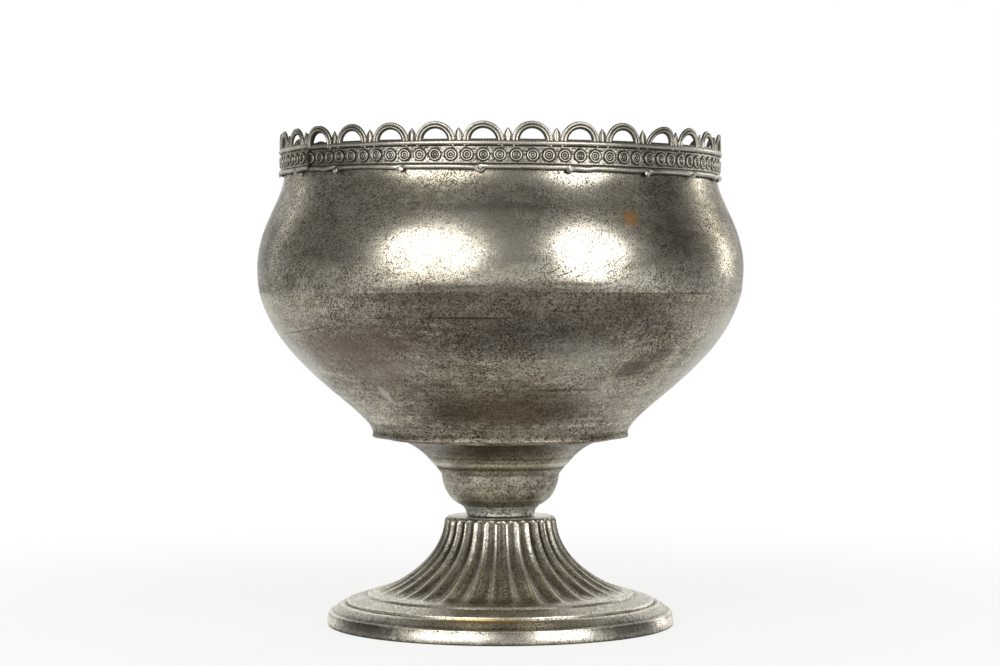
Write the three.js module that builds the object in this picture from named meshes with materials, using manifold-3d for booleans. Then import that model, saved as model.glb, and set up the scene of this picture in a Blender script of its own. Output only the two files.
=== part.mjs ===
// A footed flower bowl in antiqued metal, about 253 mm tall and 252 mm across.
// A two-part bowl stands on a spun cup, a grey metal collar and a fluted foot, and one tie rod
// holds that stack together. Three stamped gallery strips are soldered round the neck.
// Millimetres, +Z up, front towards -Y. The origin is on the table, under the middle of the foot.
import * as THREE from "three";
import { mergeVertices } from "three/addons/utils/BufferGeometryUtils.js";
import Module from "manifold-3d";

const wasm = await Module();
wasm.setup();

// ---------------------------------------------------------------- fits
const CLEARANCE = 0.3; // between pieces that rest on, or fit round, each other
const ROD_CLEARANCE = 0.3; // round the tie rod, in each hole it passes through
const CUT_PAST = 1; // how far a cut runs past the face that it opens

// ---------------------------------------------------------------- foot
const FOOT_RADIUS = 90; // at the fullest point of the upright band
const FOOT_HEIGHT = 55.9;
const FOOT_WALL = 1.6; // metal left behind the deepest part of a flute
const BAND_HEIGHT = 6.8;
const BAND_BULGE = 0.4;
const BAND_THICKNESS = 3;
const OUTER_MOULDING_WIDTH = 10;
const OUTER_MOULDING_RISE = 4.5;
const MOULDING_STEP = 1.2; // the upright step between the two mouldings
const INNER_MOULDING_WIDTH = 10.6;
const INNER_MOULDING_RISE = 2.9;
const FIELD_STEP = 0.5; // the low step round the fluted field
const FIELD_SET_BACK = 0.9;
const FIELD_REACH = 16.4; // how far the field runs nearly level before it climbs
const FIELD_LIFT = 3.6;
const SHOULDER_RADIUS = 28.9;
const SHOULDER_DROP = 3.3;
const SHOULDER_REACH = 19; // how far the field stays nearly upright below the shoulder
const SHOULDER_FLARE = 1.9;
const FOOT_TOP_RADIUS = 26;
const FLUTE_COUNT = 32;
const FLUTE_DEPTH = 1.4;
const FLUTE_TOP = 4; // height over which a flute reaches its full depth
const FLUTE_FADE = 22; // width over which it runs out again at the bottom
const FLUTE_PHASE = -4.5; // degrees from the front to the first ridge

// ---------------------------------------------------------------- collar
const COLLAR_HEIGHT = 4.9;
const COLLAR_TOP_RADIUS = 19.4;
const COLLAR_WAIST_RADIUS = 17.6;
const COLLAR_FOOT_ROUND = 1.6;

// ---------------------------------------------------------------- cup
const CUP_HEIGHT = 35.4;
const CUP_RIM_RADIUS = 57.5;
const CUP_RIM_EDGE = 1.2;
const CUP_WAIST_RADIUS = 30.5;
const CUP_WAIST_HEIGHT = 16.4; // from the underside of the cup to its waist
const CUP_WAIST_STEP = 0.4;
const CUP_BASE_RADIUS = 19.7;
const CUP_WALL = 1.2;

// ---------------------------------------------------------------- bowl
const BOWL_WALL = 1.2;
const LEDGE_RADIUS = 66.5;
const LEDGE_HEIGHT = 2.1; // upright edge of the ledge under the bowl
const LEDGE_SET_BACK = 0.4;
const LOWER_HEIGHT = 74.3; // ledge to seam
const SEAM_RADIUS = 124.5;
const SEAM_LAP = 4; // the upper shell reaches this far down inside the lower one
const BELLY_RADIUS = 125.8;
const BELLY_RISE = 13; // seam to fullest point
const NECK_RADIUS = 112;
const NECK_RISE = 60.8; // seam to the foot of the straight neck
const NECK_LENGTH = 11.7;

// ---------------------------------------------------------------- gallery strips
const STRIP_THICKNESS = 1;
const STRIP_FIT = 0.6; // from the neck to the back of the strips
const STRIP_OVER_NECK = 0.8; // how far the upper bead stands above the neck
const LOWER_BEAD = 2.8;
const ROUNDEL_BAND = 8.3;
const UPPER_BEAD = 3.6;
const BEAD_RELIEF = 0.8;
const BEAD_MARGIN = 0.3;
const ARCH_RADIUS = 9.4;
const ARCH_WIDTH = 3.6;
const ARCH_SINK = 0.9; // the arch centre lies this far below the top of the upper bead
const ARCH_GAP = 4.3; // between two arches, where the bud stands
const BUD_HEIGHT = 5.2;
const BUD_MARGIN = 0.5;
const ROUNDEL_RADIUS = 2.9;
const ROUNDEL_RELIEF = 0.5;
const ROUNDELS_PER_ARCH = 3;
const ARCH_PHASE = -4.1; // degrees from the front to the first arch centre
const LEFT_JOINT = -9; // half arches from the first arch to each joint between two strips
const RIGHT_JOINT = 10;
const BACK_JOINT = 31;

// ---------------------------------------------------------------- solder tacks
const TACK_WIDTH = 4.4;
const TACK_HEIGHT = 2.6;
const TACK_RELIEF = 1.6;
const TACK_ANGLES = [
  -64, -45, -25, -5, 17, 39, 57, 77, 97, 118, 138, 157, 177, 198, 217, 238, 258, 277,
];

// ---------------------------------------------------------------- tie rod and its fittings
const ROD_RADIUS = 4;
const ROD_SPARE = 3; // how far the rod shows past each nut
const NUT_ACROSS_FLATS = 13;
const NUT_HEIGHT = 6.5;
const WASHER_THICKNESS = 1.6;
const BOWL_WASHER_RADIUS = 15;
const FOOT_WASHER_RADIUS = 12;

// ---------------------------------------------------------------- curves
// Where the control points of the curves lie, as shares of the way across and of the way up.
const OUTER_MOULDING_PULL = { across: 0.52, up: 0.53 };
const INNER_MOULDING_PULL = { across: 0.32, up: 0.14 };
const COLLAR_PULL = 0.7;
const CUP_BASE_PULL = { across: 0.84, up: 0.2 };
const CUP_WAIST_PULL = 0.78;
const CUP_FLARE_PULL = { across: 0.27, up: 0.52 };
const CUP_RIM_PULL = 0.56;
const LEDGE_PULL = { across: 0.033, up: 0.2 };
const SEAM_PULL = { across: 0.84, up: 0.48 };
const BELLY_PULL = 0.45;
const NECK_PULL = 0.72;

// ---------------------------------------------------------------- heights worked out from them
const holeRadius = ROD_RADIUS + ROD_CLEARANCE;
const footWall = FOOT_WALL + FLUTE_DEPTH;
const mouldingZ = BAND_HEIGHT + OUTER_MOULDING_RISE;
const innerMouldingZ = mouldingZ + MOULDING_STEP;
const grooveZ = innerMouldingZ + INNER_MOULDING_RISE;
const fieldZ = grooveZ + FIELD_STEP;
const shoulderZ = FOOT_HEIGHT - SHOULDER_DROP;
const collarZ = FOOT_HEIGHT + CLEARANCE;
const cupZ = collarZ + COLLAR_HEIGHT + CLEARANCE;
const bowlZ = cupZ + CUP_HEIGHT + CLEARANCE;
const seamZ = bowlZ + LOWER_HEIGHT;
const bellyZ = seamZ + BELLY_RISE;
const neckZ = seamZ + NECK_RISE;
const neckTopZ = neckZ + NECK_LENGTH;
const stripHeight = LOWER_BEAD + ROUNDEL_BAND + UPPER_BEAD;
const stripZ = neckTopZ + STRIP_OVER_NECK - stripHeight;
const bowlWasherZ = bowlZ + BOWL_WALL + CLEARANCE;
const bowlNutZ = bowlWasherZ + WASHER_THICKNESS + CLEARANCE;
const footWasherZ = FOOT_HEIGHT - footWall - CLEARANCE - WASHER_THICKNESS;
const footNutZ = footWasherZ - CLEARANCE - NUT_HEIGHT;
const rodBottomZ = footNutZ - ROD_SPARE;
const rodTopZ = bowlNutZ + NUT_HEIGHT + ROD_SPARE;

// ---------------------------------------------------------------- radii worked out from them
const bandRadius = FOOT_RADIUS - BAND_BULGE;
const mouldingRadius = bandRadius - OUTER_MOULDING_WIDTH;
const grooveRadius = mouldingRadius - INNER_MOULDING_WIDTH;
const fieldRadius = grooveRadius - FIELD_SET_BACK;
const stripRadius = NECK_RADIUS + STRIP_FIT;
const archPitch = 2 * ARCH_RADIUS + ARCH_GAP;
const archCount = Math.round((2 * Math.PI * stripRadius) / archPitch);
const facetCount = 2 * archCount; // the bowl has two facets to an arch, so the strips lie flat on it
const facetWidth = Math.fround((Math.PI * (stripRadius + STRIP_THICKNESS)) / archCount);

// ---------------------------------------------------------------- tools
const degrees = THREE.MathUtils.degToRad;
const point = (radius, z) => new THREE.Vector2(radius, z);
const lerp = THREE.MathUtils.lerp;
const facetAngle = (facet) => degrees(ARCH_PHASE) + (facet * Math.PI) / archCount;

// A closed three.js geometry as a solid that can be joined and cut.
function solidOf(geometry) {
  const bare = geometry.clone();
  bare.deleteAttribute("normal");
  bare.deleteAttribute("uv");
  const merged = mergeVertices(bare, 1e-3);
  const corners = merged.index.array;
  const kept = [];
  for (let i = 0; i < corners.length; i += 3) {
    const [a, b, c] = corners.slice(i, i + 3);
    if (a !== b && b !== c && c !== a) kept.push(a, b, c);
  }
  const vertProperties = new Float32Array(merged.attributes.position.array);
  const triVerts = new Uint32Array(kept);
  return new wasm.Manifold(new wasm.Mesh({ numProp: 3, vertProperties, triVerts }));
}

// A solid as a three.js geometry with flat faces.
function geometryOf(solid) {
  const mesh = solid.getMesh();
  const geometry = new THREE.BufferGeometry();
  geometry.setAttribute("position", new THREE.BufferAttribute(mesh.vertProperties, 3));
  geometry.setIndex(new THREE.BufferAttribute(mesh.triVerts, 1));
  const flat = geometry.toNonIndexed();
  flat.computeVertexNormals();
  return flat;
}

const join = (solids) => solids.reduce((all, solid) => all.add(solid));

// A profile of (radius, z) points turned round +Z, with its first facet edge at an angle.
function turned(points, segments, phase = 0) {
  const lathe = new THREE.LatheGeometry(points, segments, degrees(phase), 2 * Math.PI);
  return lathe.rotateX(Math.PI / 2);
}

// A plain round bar or hole along +Z.
function bar(radius, bottom, top, segments = 32) {
  const cylinder = new THREE.CylinderGeometry(radius, radius, top - bottom, segments);
  cylinder.rotateX(Math.PI / 2);
  return cylinder.translate(0, 0, (bottom + top) / 2);
}

// The outward normal of an outline that climbs from point to point.
function normalAt(points, i) {
  const before = points[Math.max(i - 1, 0)];
  const after = points[Math.min(i + 1, points.length - 1)];
  const along = after.clone().sub(before).normalize();
  return point(along.y, -along.x);
}

// The inner face of a sheet whose outer face climbs along the points. Its ends stay level.
function innerFace(points, wall) {
  const last = points.length - 1;
  return points.map((p, i) => {
    const normal = normalAt(points, i);
    if (i === 0 || i === last) return point(p.x - wall / normal.x, p.y);
    return p.clone().addScaledVector(normal, -wall);
  });
}

// The radius of a climbing outline at a height.
function radiusAt(points, z) {
  const next = points.findIndex((p) => p.y >= z);
  const [a, b] = [points[next - 1], points[next]];
  return THREE.MathUtils.mapLinear(z, a.y, b.y, a.x, b.x);
}

// ---------------------------------------------------------------- foot
// The upright band and the two mouldings, from the table up to the groove round the field.
function baseOutline() {
  const base = new THREE.Path();
  base.moveTo(bandRadius, 0);
  base.quadraticCurveTo(FOOT_RADIUS + BAND_BULGE, BAND_HEIGHT / 2, bandRadius, BAND_HEIGHT);
  base.quadraticCurveTo(
    lerp(bandRadius, mouldingRadius, OUTER_MOULDING_PULL.across),
    lerp(BAND_HEIGHT, mouldingZ, OUTER_MOULDING_PULL.up),
    mouldingRadius,
    mouldingZ,
  );
  base.lineTo(mouldingRadius, innerMouldingZ);
  base.quadraticCurveTo(
    lerp(mouldingRadius, grooveRadius, INNER_MOULDING_PULL.across),
    lerp(innerMouldingZ, grooveZ, INNER_MOULDING_PULL.up),
    grooveRadius,
    grooveZ,
  );
  return base.getPoints(3);
}

// The fluted field, climbing from its edge to the shoulder.
function fieldCurve(inset) {
  return new THREE.CubicBezierCurve(
    point(fieldRadius - inset, fieldZ - inset),
    point(fieldRadius - FIELD_REACH - inset / 3, fieldZ + FIELD_LIFT - inset),
    point(SHOULDER_RADIUS + SHOULDER_FLARE - inset, shoulderZ - SHOULDER_REACH - inset / 2),
    point(SHOULDER_RADIUS - inset, shoulderZ - inset / 2),
  );
}

// How deep the flutes are at a point of the field.
function fluteDepth(p) {
  const fromTop = (shoulderZ - p.y) / FLUTE_TOP;
  const fromEdge = (fieldRadius - p.x) / FLUTE_FADE;
  return FLUTE_DEPTH * THREE.MathUtils.clamp(Math.min(fromTop, fromEdge), 0, 1);
}

function makeFoot() {
  const field = fieldCurve(0).getPoints(10);
  const shoulder = new THREE.QuadraticBezierCurve(
    field[field.length - 1],
    point(SHOULDER_RADIUS - SHOULDER_DROP / 3, FOOT_HEIGHT),
    point(FOOT_TOP_RADIUS, FOOT_HEIGHT),
  ).getPoints(2);
  const outline = [
    point(0, 0),
    ...baseOutline(),
    ...field,
    ...shoulder.slice(1),
    point(0, FOOT_HEIGHT),
  ];
  const outside = turned(outline, 3 * FLUTE_COUNT, FLUTE_PHASE);
  const position = outside.attributes.position;
  // Every third line of the turned form is a ridge, and the two between are sunk to make a flute.
  outline.forEach((p, row) => {
    const depth = fluteDepth(p);
    if (!field.includes(p) || depth === 0) return;
    const normal = normalAt(outline, row);
    const sunk = p.clone().addScaledVector(normal, -depth);
    for (let line = 0; line <= 3 * FLUTE_COUNT; line++) {
      if (line % 3 === 0) continue;
      const angle = degrees(FLUTE_PHASE) + (line * 2 * Math.PI) / (3 * FLUTE_COUNT);
      const vertex = line * outline.length + row;
      position.setXYZ(vertex, sunk.x * Math.sin(angle), -sunk.x * Math.cos(angle), sunk.y);
    }
  });
  const hollowRadius = bandRadius - BAND_THICKNESS;
  const hollow = [
    point(0, -CUT_PAST),
    point(hollowRadius, -CUT_PAST),
    point(hollowRadius, BAND_HEIGHT - footWall / 2),
    ...fieldCurve(footWall).getPoints(5),
    point(SHOULDER_RADIUS - footWall, FOOT_HEIGHT - footWall),
    point(0, FOOT_HEIGHT - footWall),
  ];
  return solidOf(outside)
    .subtract(solidOf(turned(hollow, 32)))
    .subtract(solidOf(bar(holeRadius, 0, FOOT_HEIGHT + CUT_PAST)));
}

// ---------------------------------------------------------------- collar and cup
function makeCollar() {
  const side = new THREE.Path();
  const round = COLLAR_FOOT_ROUND;
  side.moveTo(COLLAR_WAIST_RADIUS - round, collarZ);
  side.quadraticCurveTo(COLLAR_WAIST_RADIUS, collarZ, COLLAR_WAIST_RADIUS, collarZ + round);
  side.quadraticCurveTo(
    COLLAR_WAIST_RADIUS,
    collarZ + COLLAR_HEIGHT * COLLAR_PULL,
    COLLAR_TOP_RADIUS,
    collarZ + COLLAR_HEIGHT,
  );
  const points = side.getPoints(2);
  const bore = [point(holeRadius, collarZ + COLLAR_HEIGHT), point(holeRadius, collarZ)];
  return turned([bore[1], ...points, ...bore], 24);
}

function makeCup() {
  const waistZ = cupZ + CUP_WAIST_HEIGHT;
  const rimZ = cupZ + CUP_HEIGHT;
  const lipZ = rimZ - CUP_RIM_EDGE;
  const neckRadius = CUP_WAIST_RADIUS - CUP_WAIST_STEP;
  const side = new THREE.Path();
  side.moveTo(CUP_BASE_RADIUS, cupZ);
  side.bezierCurveTo(
    lerp(CUP_BASE_RADIUS, CUP_WAIST_RADIUS, CUP_BASE_PULL.across),
    lerp(cupZ, waistZ, CUP_BASE_PULL.up),
    neckRadius,
    lerp(cupZ, waistZ, CUP_WAIST_PULL),
    neckRadius,
    waistZ - CUP_WAIST_STEP,
  );
  side.lineTo(CUP_WAIST_RADIUS, waistZ);
  side.bezierCurveTo(
    lerp(CUP_WAIST_RADIUS, CUP_RIM_RADIUS, CUP_FLARE_PULL.across),
    lerp(waistZ, lipZ, CUP_FLARE_PULL.up),
    lerp(CUP_WAIST_RADIUS, CUP_RIM_RADIUS, CUP_RIM_PULL),
    lipZ,
    CUP_RIM_RADIUS,
    lipZ,
  );
  const outer = side.getPoints(4);
  const inner = outer.map((p, i) => p.clone().addScaledVector(normalAt(outer, i), -CUP_WALL));
  const floorZ = cupZ + CUP_WALL;
  const wallInside = inner.filter((p) => p.y > floorZ + CUP_WALL / 2 && p.y < rimZ - CUP_WALL / 4);
  const profile = [
    point(holeRadius, cupZ),
    ...outer,
    point(CUP_RIM_RADIUS, rimZ),
    point(wallInside[wallInside.length - 1].x + CUP_WALL, rimZ),
    ...wallInside.reverse(),
    point(CUP_BASE_RADIUS - CUP_WALL, floorZ),
    point(holeRadius, floorZ),
    point(holeRadius, cupZ),
  ];
  return turned(profile, 36);
}

// ---------------------------------------------------------------- bowl
// The outer face of the lower shell, from the top of its ledge to the seam.
function lowerOutline() {
  const side = new THREE.CubicBezierCurve(
    point(LEDGE_RADIUS - LEDGE_SET_BACK, bowlZ + LEDGE_HEIGHT),
    point(lerp(LEDGE_RADIUS, SEAM_RADIUS, LEDGE_PULL.across), lerp(bowlZ, seamZ, LEDGE_PULL.up)),
    point(lerp(LEDGE_RADIUS, SEAM_RADIUS, SEAM_PULL.across), lerp(bowlZ, seamZ, SEAM_PULL.up)),
    point(SEAM_RADIUS, seamZ),
  );
  return side.getPoints(8);
}

function makeLowerShell() {
  const outer = lowerOutline();
  const floorZ = bowlZ + BOWL_WALL;
  const inner = innerFace(outer, BOWL_WALL).reverse();
  const profile = [
    point(holeRadius, bowlZ),
    point(LEDGE_RADIUS, bowlZ),
    ...outer,
    ...inner,
    point(inner[inner.length - 1].x, floorZ),
    point(holeRadius, floorZ),
    point(holeRadius, bowlZ),
  ];
  return turned(profile, facetCount, ARCH_PHASE);
}

// The outer face of the upper shell, from the seam to the top of the neck.
function upperOutline() {
  const belly = new THREE.QuadraticBezierCurve(
    point(SEAM_RADIUS, seamZ + CLEARANCE),
    point(BELLY_RADIUS, lerp(seamZ, bellyZ, 0.5)),
    point(BELLY_RADIUS, bellyZ),
  );
  const shoulder = new THREE.CubicBezierCurve(
    point(BELLY_RADIUS, bellyZ),
    point(BELLY_RADIUS, lerp(bellyZ, neckZ, BELLY_PULL)),
    point(NECK_RADIUS, lerp(bellyZ, neckZ, NECK_PULL)),
    point(NECK_RADIUS, neckZ),
  );
  return [...belly.getPoints(2), ...shoulder.getPoints(8).slice(1), point(NECK_RADIUS, neckTopZ)];
}

function makeUpperShell() {
  const outer = upperOutline();
  const inner = innerFace(outer, BOWL_WALL).slice(1).reverse();
  // Below the seam the sheet is set in and follows the inside of the lower shell.
  const socket = innerFace(lowerOutline(), BOWL_WALL + CLEARANCE);
  const lapZ = seamZ - SEAM_LAP;
  const lapRadius = radiusAt(socket, lapZ);
  const seamInside = socket[socket.length - 1].x;
  const profile = [
    point(lapRadius, lapZ),
    point(seamInside, seamZ + CLEARANCE),
    ...outer,
    ...inner,
    point(seamInside - BOWL_WALL, seamZ + BOWL_WALL),
    point(lapRadius - BOWL_WALL, lapZ),
    point(lapRadius, lapZ),
  ];
  return turned(profile, facetCount, ARCH_PHASE);
}

// ---------------------------------------------------------------- gallery strips
// Half an arcade as a flat outline, from an arch centre at x = 0 to the middle of a bud.
function halfArcade() {
  const top = stripHeight;
  const inside = ARCH_RADIUS - ARCH_WIDTH;
  const outerTurn = Math.asin(ARCH_SINK / ARCH_RADIUS);
  const innerTurn = Math.asin(ARCH_SINK / inside);
  const budEdge = facetWidth - ARCH_GAP / 2 + BUD_MARGIN;
  const outline = new THREE.Path();
  outline.moveTo(0, 0);
  outline.lineTo(facetWidth, 0);
  outline.lineTo(facetWidth, top + BUD_HEIGHT);
  outline.lineTo(budEdge, top);
  outline.lineTo(ARCH_RADIUS * Math.cos(outerTurn), top);
  outline.absarc(0, top - ARCH_SINK, ARCH_RADIUS, outerTurn, Math.PI / 2, false);
  outline.absarc(0, top - ARCH_SINK, inside, Math.PI / 2, innerTurn, true);
  outline.lineTo(0, top);
  return outline.getPoints(2);
}

// A flat outline as a plate on one facet of the neck, from one depth to another.
function platePiece(points, facet, near, far) {
  const shape = new THREE.Shape(points);
  const plate = new THREE.ExtrudeGeometry(shape, { depth: far - near, bevelEnabled: false });
  const position = plate.attributes.position;
  const start = facetAngle(facet);
  const end = facetAngle(facet + 1);
  for (let i = 0; i < position.count; i++) {
    const share = position.getX(i) / facetWidth;
    const radius = stripRadius + near + position.getZ(i);
    const x = radius * lerp(Math.sin(start), Math.sin(end), share);
    const y = -radius * lerp(Math.cos(start), Math.cos(end), share);
    position.setXYZ(i, x, y, stripZ + position.getY(i));
  }
  return solidOf(plate);
}

// A bead along one facet, between two heights of the strip.
function beadPiece(facet, bottom, top) {
  const low = bottom + BEAD_MARGIN;
  const high = top - BEAD_MARGIN;
  const outline = [
    point(0, low),
    point(facetWidth, low),
    point(facetWidth, high),
    point(0, high),
  ];
  return platePiece(outline, facet, STRIP_THICKNESS / 2, STRIP_THICKNESS + BEAD_RELIEF);
}

function roundel(angle) {
  const height = STRIP_THICKNESS / 2 + ROUNDEL_RELIEF;
  const disc = new THREE.CylinderGeometry(ROUNDEL_RADIUS, ROUNDEL_RADIUS, height, 8);
  disc.rotateY(Math.PI / 8);
  disc.translate(0, -(stripRadius + STRIP_THICKNESS / 2 + height / 2), 0);
  disc.translate(0, 0, stripZ + LOWER_BEAD + ROUNDEL_BAND / 2);
  return solidOf(disc.rotateZ(angle));
}

// One strip between two joints, both counted in facets from the first arch.
function makeStrip(first, last) {
  const arcade = halfArcade();
  const mirrored = arcade.map((p) => point(facetWidth - p.x, p.y)).reverse();
  const plates = [];
  const lowerBead = [];
  const upperBead = [];
  for (let facet = first; facet < last; facet++) {
    const outline = facet % 2 === 0 ? arcade : mirrored;
    plates.push(platePiece(outline, facet, 0, STRIP_THICKNESS));
    lowerBead.push(beadPiece(facet, 0, LOWER_BEAD));
    upperBead.push(beadPiece(facet, stripHeight - UPPER_BEAD, stripHeight));
  }
  const roundels = [];
  const facetsApart = 2 / ROUNDELS_PER_ARCH;
  const reach = (ROUNDEL_RADIUS + BEAD_MARGIN) / facetWidth;
  const firstRoundel = Math.ceil((first + reach) / facetsApart);
  for (let n = firstRoundel; n * facetsApart <= last - reach; n++) {
    roundels.push(roundel(facetAngle(n * facetsApart)));
  }
  const strip = join([join(plates), join(lowerBead), join(upperBead), ...roundels]);
  return strip.subtract(jointSlot(first)).subtract(jointSlot(last));
}

// The gap where two strips meet, centred on a facet edge.
function jointSlot(facet) {
  const height = stripHeight + ARCH_RADIUS + BUD_HEIGHT;
  const slot = new THREE.BoxGeometry(CLEARANCE, 4 * STRIP_THICKNESS + 2 * BEAD_RELIEF, 2 * height);
  slot.translate(0, -(stripRadius + STRIP_THICKNESS), stripZ + height / 2);
  return solidOf(slot.rotateZ(facetAngle(facet)));
}

// ---------------------------------------------------------------- solder tacks
function makeTack() {
  const lump = new THREE.SphereGeometry(0.5, 6, 3);
  lump.scale(TACK_WIDTH, TACK_HEIGHT, TACK_RELIEF);
  return lump.rotateX(Math.PI / 2);
}

// ---------------------------------------------------------------- tie rod and its fittings
function makeWasher(radius, z) {
  const profile = [
    point(holeRadius, z),
    point(radius, z),
    point(radius, z + WASHER_THICKNESS),
    point(holeRadius, z + WASHER_THICKNESS),
    point(holeRadius, z),
  ];
  return turned(profile, 20);
}

function makeNut(z) {
  const acrossCorners = NUT_ACROSS_FLATS / Math.cos(Math.PI / 6);
  const hexagon = solidOf(bar(acrossCorners / 2, z, z + NUT_HEIGHT, 6));
  return hexagon.subtract(solidOf(bar(holeRadius, z - CUT_PAST, z + NUT_HEIGHT + CUT_PAST, 16)));
}

// ---------------------------------------------------------------- assembly
const finishes = {
  foot: { color: 0x75695a, metalness: 0.9, roughness: 0.38 },
  collar: { color: 0x8a8f93, metalness: 0.85, roughness: 0.6 },
  cup: { color: 0x5d554c, metalness: 0.9, roughness: 0.42 },
  bowl: { color: 0x635a50, metalness: 0.9, roughness: 0.34 },
  gallery: { color: 0x6e675d, metalness: 0.9, roughness: 0.45 },
  solder: { color: 0x8d8778, metalness: 0.8, roughness: 0.5 },
  steel: { color: 0x9a9a98, metalness: 0.95, roughness: 0.35 },
};

function piece(name, shape, finish) {
  const geometry = shape.isBufferGeometry ? shape : geometryOf(shape);
  const mesh = new THREE.Mesh(geometry, new THREE.MeshStandardMaterial(finishes[finish]));
  mesh.name = name;
  return mesh;
}

function makeStem() {
  const stem = new THREE.Group();
  stem.add(piece("foot", makeFoot(), "foot"));
  stem.add(piece("collar", makeCollar(), "collar"));
  stem.add(piece("stem_cup", makeCup(), "cup"));
  return stem;
}

function makeBowl() {
  const bowl = new THREE.Group();
  bowl.add(piece("bowl_lower_shell", makeLowerShell(), "bowl"));
  bowl.add(piece("bowl_upper_shell", makeUpperShell(), "bowl"));
  return bowl;
}

function makeGallery() {
  const gallery = new THREE.Group();
  gallery.add(piece("gallery_strip_front", makeStrip(LEFT_JOINT, RIGHT_JOINT), "gallery"));
  gallery.add(piece("gallery_strip_right", makeStrip(RIGHT_JOINT, BACK_JOINT), "gallery"));
  gallery.add(piece("gallery_strip_left", makeStrip(BACK_JOINT, LEFT_JOINT + facetCount), "gallery"));
  const neck = upperOutline();
  const tackTopZ = stripZ - CLEARANCE;
  const tackRadius = radiusAt(neck, tackTopZ - TACK_HEIGHT) + CLEARANCE;
  TACK_ANGLES.forEach((angle, i) => {
    const arm = new THREE.Group();
    const tack = piece("solder_tack_" + String(i + 1).padStart(2, "0"), makeTack(), "solder");
    tack.position.set(0, -(tackRadius + TACK_RELIEF / 2), tackTopZ - TACK_HEIGHT / 2);
    arm.rotation.z = degrees(angle);
    arm.add(tack);
    gallery.add(arm);
  });
  return gallery;
}

function makeFixings() {
  const fixings = new THREE.Group();
  fixings.add(piece("tie_rod", bar(ROD_RADIUS, rodBottomZ, rodTopZ, 16), "steel"));
  fixings.add(piece("bowl_washer", makeWasher(BOWL_WASHER_RADIUS, bowlWasherZ), "steel"));
  fixings.add(piece("bowl_nut", makeNut(bowlNutZ), "steel"));
  fixings.add(piece("foot_washer", makeWasher(FOOT_WASHER_RADIUS, footWasherZ), "steel"));
  fixings.add(piece("foot_nut", makeNut(footNutZ), "steel"));
  return fixings;
}

const footedBowl = new THREE.Group();
footedBowl.add(makeStem(), makeBowl(), makeGallery(), makeFixings());

export default footedBowl;
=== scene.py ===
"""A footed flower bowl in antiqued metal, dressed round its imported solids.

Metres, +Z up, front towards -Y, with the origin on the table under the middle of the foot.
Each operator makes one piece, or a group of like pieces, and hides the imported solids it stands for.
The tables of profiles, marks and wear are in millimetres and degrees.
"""

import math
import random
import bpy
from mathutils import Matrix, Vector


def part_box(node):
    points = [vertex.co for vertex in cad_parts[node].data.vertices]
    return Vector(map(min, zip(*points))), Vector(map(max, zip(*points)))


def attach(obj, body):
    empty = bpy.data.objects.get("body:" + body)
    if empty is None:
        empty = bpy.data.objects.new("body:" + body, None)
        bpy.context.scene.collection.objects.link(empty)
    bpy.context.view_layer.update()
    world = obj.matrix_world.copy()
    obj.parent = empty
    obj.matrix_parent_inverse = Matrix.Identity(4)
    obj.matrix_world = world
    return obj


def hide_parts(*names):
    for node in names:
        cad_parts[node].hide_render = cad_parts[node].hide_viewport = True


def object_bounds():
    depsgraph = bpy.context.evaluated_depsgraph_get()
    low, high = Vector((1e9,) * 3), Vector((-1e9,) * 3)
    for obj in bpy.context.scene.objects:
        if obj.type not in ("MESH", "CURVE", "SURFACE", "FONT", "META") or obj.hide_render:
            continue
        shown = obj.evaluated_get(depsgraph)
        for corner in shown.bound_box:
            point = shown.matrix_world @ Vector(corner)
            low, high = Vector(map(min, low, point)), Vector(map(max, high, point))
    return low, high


bl_info = {
    "name": "Footed Flower Bowl",
    "version": (1, 0, 0),
    "blender": (4, 5, 0),
    "location": "View3D > Sidebar > Flower Bowl",
    "description": "Makes an antiqued footed flower bowl with a stamped gallery rim",
    "category": "Add Mesh",
}

from functools import partial

import bpy
import numpy as np
from bpy.props import FloatProperty, FloatVectorProperty, IntProperty, PointerProperty
from mathutils import Vector, noise

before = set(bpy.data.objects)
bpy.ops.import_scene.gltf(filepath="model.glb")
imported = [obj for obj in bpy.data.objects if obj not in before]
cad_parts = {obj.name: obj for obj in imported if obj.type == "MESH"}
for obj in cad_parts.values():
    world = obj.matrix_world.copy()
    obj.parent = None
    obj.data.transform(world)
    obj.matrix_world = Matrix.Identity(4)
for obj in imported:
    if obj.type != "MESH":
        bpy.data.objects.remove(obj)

MM = 0.001
BODY = "root"
CAD_LOW, CAD_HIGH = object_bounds()
ROD_HOLE = 4.3 * MM


def node_heights(node):
    """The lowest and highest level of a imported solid."""
    low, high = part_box(node)
    return low.z, high.z


FOOT_TOP = node_heights("foot")[1]
COLLAR_BOTTOM, COLLAR_TOP = node_heights("collar")
CUP_BOTTOM, CUP_TOP = node_heights("stem_cup")
LEDGE_BOTTOM, SEAM_LEVEL = node_heights("bowl_lower_shell")
NECK_TOP = node_heights("bowl_upper_shell")[1]
STRIP_BOTTOM, STRIP_TIP = node_heights("gallery_strip_front")
WIDEST = min(CAD_HIGH.x, CAD_HIGH.y, -CAD_LOW.x, -CAD_LOW.y)
TACKS = sorted(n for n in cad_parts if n.startswith("solder_tack_"))


# ------------------------------------------------------------------ sizes and colours
def length(name, description, default):
    """A size that a user can set."""
    return FloatProperty(name=name, description=description, default=default, unit="LENGTH")


def angle(name, description, degrees):
    """An angle that a user can set."""
    return FloatProperty(
        name=name, description=description, default=math.radians(degrees), subtype="ANGLE"
    )


def share(name, description, default):
    """A part of one that a user can set."""
    return FloatProperty(name=name, description=description, default=default, subtype="FACTOR")


def colour(name, description, default):
    """A colour that a user can set."""
    return FloatVectorProperty(
        name=name, description=description, default=default, size=3, subtype="COLOR", min=0, max=4
    )


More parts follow.
